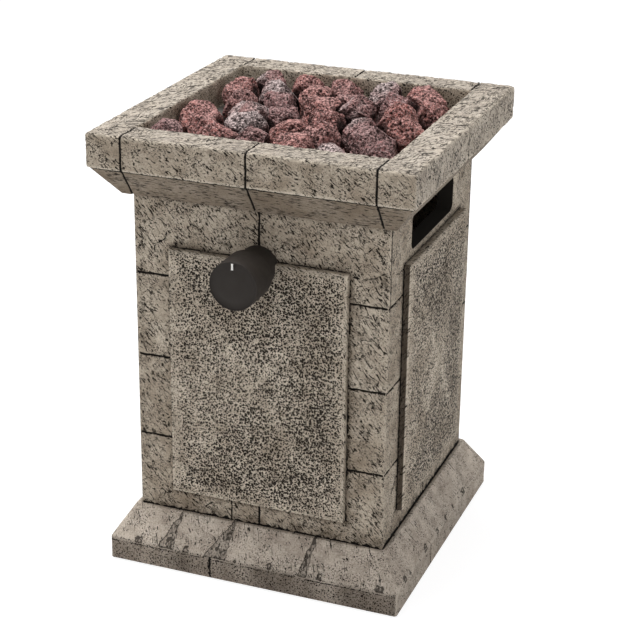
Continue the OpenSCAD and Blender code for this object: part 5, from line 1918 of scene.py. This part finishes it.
@dataclass
class Studio:
    """White floor and surroundings, soft lamps and the camera."""

    camera_at: tuple = (0.5562, -1.4433, 0.85317)
    yaw: float = 20.661
    pitch: float = 22.497
    roll: float = 0.801
    lens: float = 99.6
    shade: float = 0.30
    floor_glow: float = 1.26
    world_light: float = 0.38
    lamps: tuple = (("top_lamp", (-0.5, 0.2, 2.3), 1.2, 62.0), ("front_lamp", (-1.4, -1.9, 1.6), 0.9, 9.0),
                    ("side_lamp", (2.4, -0.6, 1.2), 1.6, 14.0))

    def white(self) -> bpy.types.Material:
        """A floor that the camera sees as white with the object's faint shadow on it.

        Returns:
            The material.
        """
        material = bpy.data.materials.new("white_floor")
        material.use_nodes = True
        material.node_tree.nodes.clear()
        w = Wiring(material.node_tree)
        ray = w.add("ShaderNodeLightPath")
        plain = w.add("ShaderNodeBsdfDiffuse", Color=rgb(238, 238, 238))
        glow = w.add("ShaderNodeEmission", Color=(1, 1, 1, 1), Strength=self.floor_glow)
        soft = w.add("ShaderNodeMixShader", i0=1 - self.shade, i1=plain.outputs[0], i2=glow.outputs[0])
        seen = w.most(*(ray.outputs[f"Is {kind} Ray"] for kind in ("Glossy", "Transmission", "Camera")))
        both = w.add("ShaderNodeMixShader", i0=seen, i1=plain.outputs[0], i2=soft.outputs[0])
        w.add("ShaderNodeOutputMaterial", Surface=both.outputs[0])
        return material

    def surroundings(self) -> None:
        """A plain world: white to the camera and in reflections, a soft grey light elsewhere."""
        world = bpy.data.worlds.new("studio")
        bpy.context.scene.world = world
        world.use_nodes = True
        world.node_tree.nodes.clear()
        w = Wiring(world.node_tree)
        ray = w.add("ShaderNodeLightPath")
        lit = w.add("ShaderNodeBackground", Color=rgb(252, 252, 255), Strength=self.world_light)
        bright = w.add("ShaderNodeBackground", Color=(1, 1, 1, 1), Strength=1.0)
        seen = w.most(ray.outputs["Is Camera Ray"], ray.outputs["Is Transmission Ray"])
        both = w.add("ShaderNodeMixShader", i0=seen, i1=lit.outputs[0], i2=bright.outputs[0])
        w.add("ShaderNodeOutputWorld", Surface=both.outputs[0])

    def lamp(self, name: str, at: tuple, size: float, power: float) -> None:
        """Adds a soft square lamp that points at the object.

        Args:
            name: Name of the lamp.
            at: Its place in metres.
            size: Width in metres.
            power: Power in watts.
        """
        data = bpy.data.lights.new(name, "AREA")
        data.size, data.energy = size, power
        lamp = bpy.data.objects.new(name, data)
        lamp.location = at
        lamp.rotation_euler = (Vector((0, 0, 0.2)) - Vector(at)).to_track_quat("-Z", "Y").to_euler()
        bpy.context.scene.collection.objects.link(lamp)

    def camera(self) -> None:
        """Sets the camera to the photograph's view."""
        yaw, pitch, roll = (math.radians(a) for a in (self.yaw, self.pitch, self.roll))
        ahead = Vector((-math.sin(yaw) * math.cos(pitch), math.cos(yaw) * math.cos(pitch), -math.sin(pitch)))
        right = ahead.cross(Vector((0, 0, 1))).normalized()
        up = right.cross(ahead)
        turned_right = right * math.cos(roll) + up * math.sin(roll)
        turned_up = up * math.cos(roll) - right * math.sin(roll)
        data = bpy.data.cameras.new("camera")
        data.lens, data.sensor_width = self.lens, 36.0
        camera = bpy.data.objects.new("camera", data)
        turn = Matrix((turned_right, turned_up, -ahead)).transposed().to_4x4()
        camera.matrix_world = Matrix.Translation(self.camera_at) @ turn
        bpy.context.scene.collection.objects.link(camera)
        bpy.context.scene.camera = camera

    def build(self) -> None:
        """Sets up the camera, floor, world and lamps."""
        self.camera()
        work = bmesh.new()
        bmesh.ops.create_grid(work, x_segments=1, y_segments=1, size=6.0)
        floor = as_piece("floor", work, False)
        floor.data.materials.append(self.white())
        self.surroundings()
        for name, at, size, power in self.lamps:
            self.lamp(name, at, size, power)
        bpy.context.scene.view_settings.view_transform = "Standard"


def main() -> None:
    """Builds the whole scene."""
    logging.basicConfig(level=logging.INFO, format="%(name)s %(message)s")
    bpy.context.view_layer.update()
    Studio().build()
    finishes = Fittings().build()
    grain = Grain(11)
    stone = CastStone().build()
    TopFrame().build(grain, CastStone("rim_stone", slant=38.0, strokes=0.36, long_marks=0.0, line_fray=1.0).build())
    column = Column()
    column.walls(grain, stone)
    for side in Side:
        column.panel(side, grain, stone)
    base = CastStone("plinth_stone", rgb(212, 201, 186), rgb(174, 161, 147), slant=64.0, strokes=0.14, speck=0.0027,
                     long_marks=0.1, slate_turn=1.3, slate_width=0.005, crumble=0.85)
    Plinth().build(grain, base.build())
    rock = LavaRock().build()
    bed = LavaBed()
    bed.build("lava_rocks_upper", 7, 2, grain, rock)
    bed.build("lava_rocks_lower", 3, 1, grain, rock)
    Control().build(finishes["black_plastic"])
    StemSpring().build(finishes["steel"])


if __name__ == "__main__":
    main()
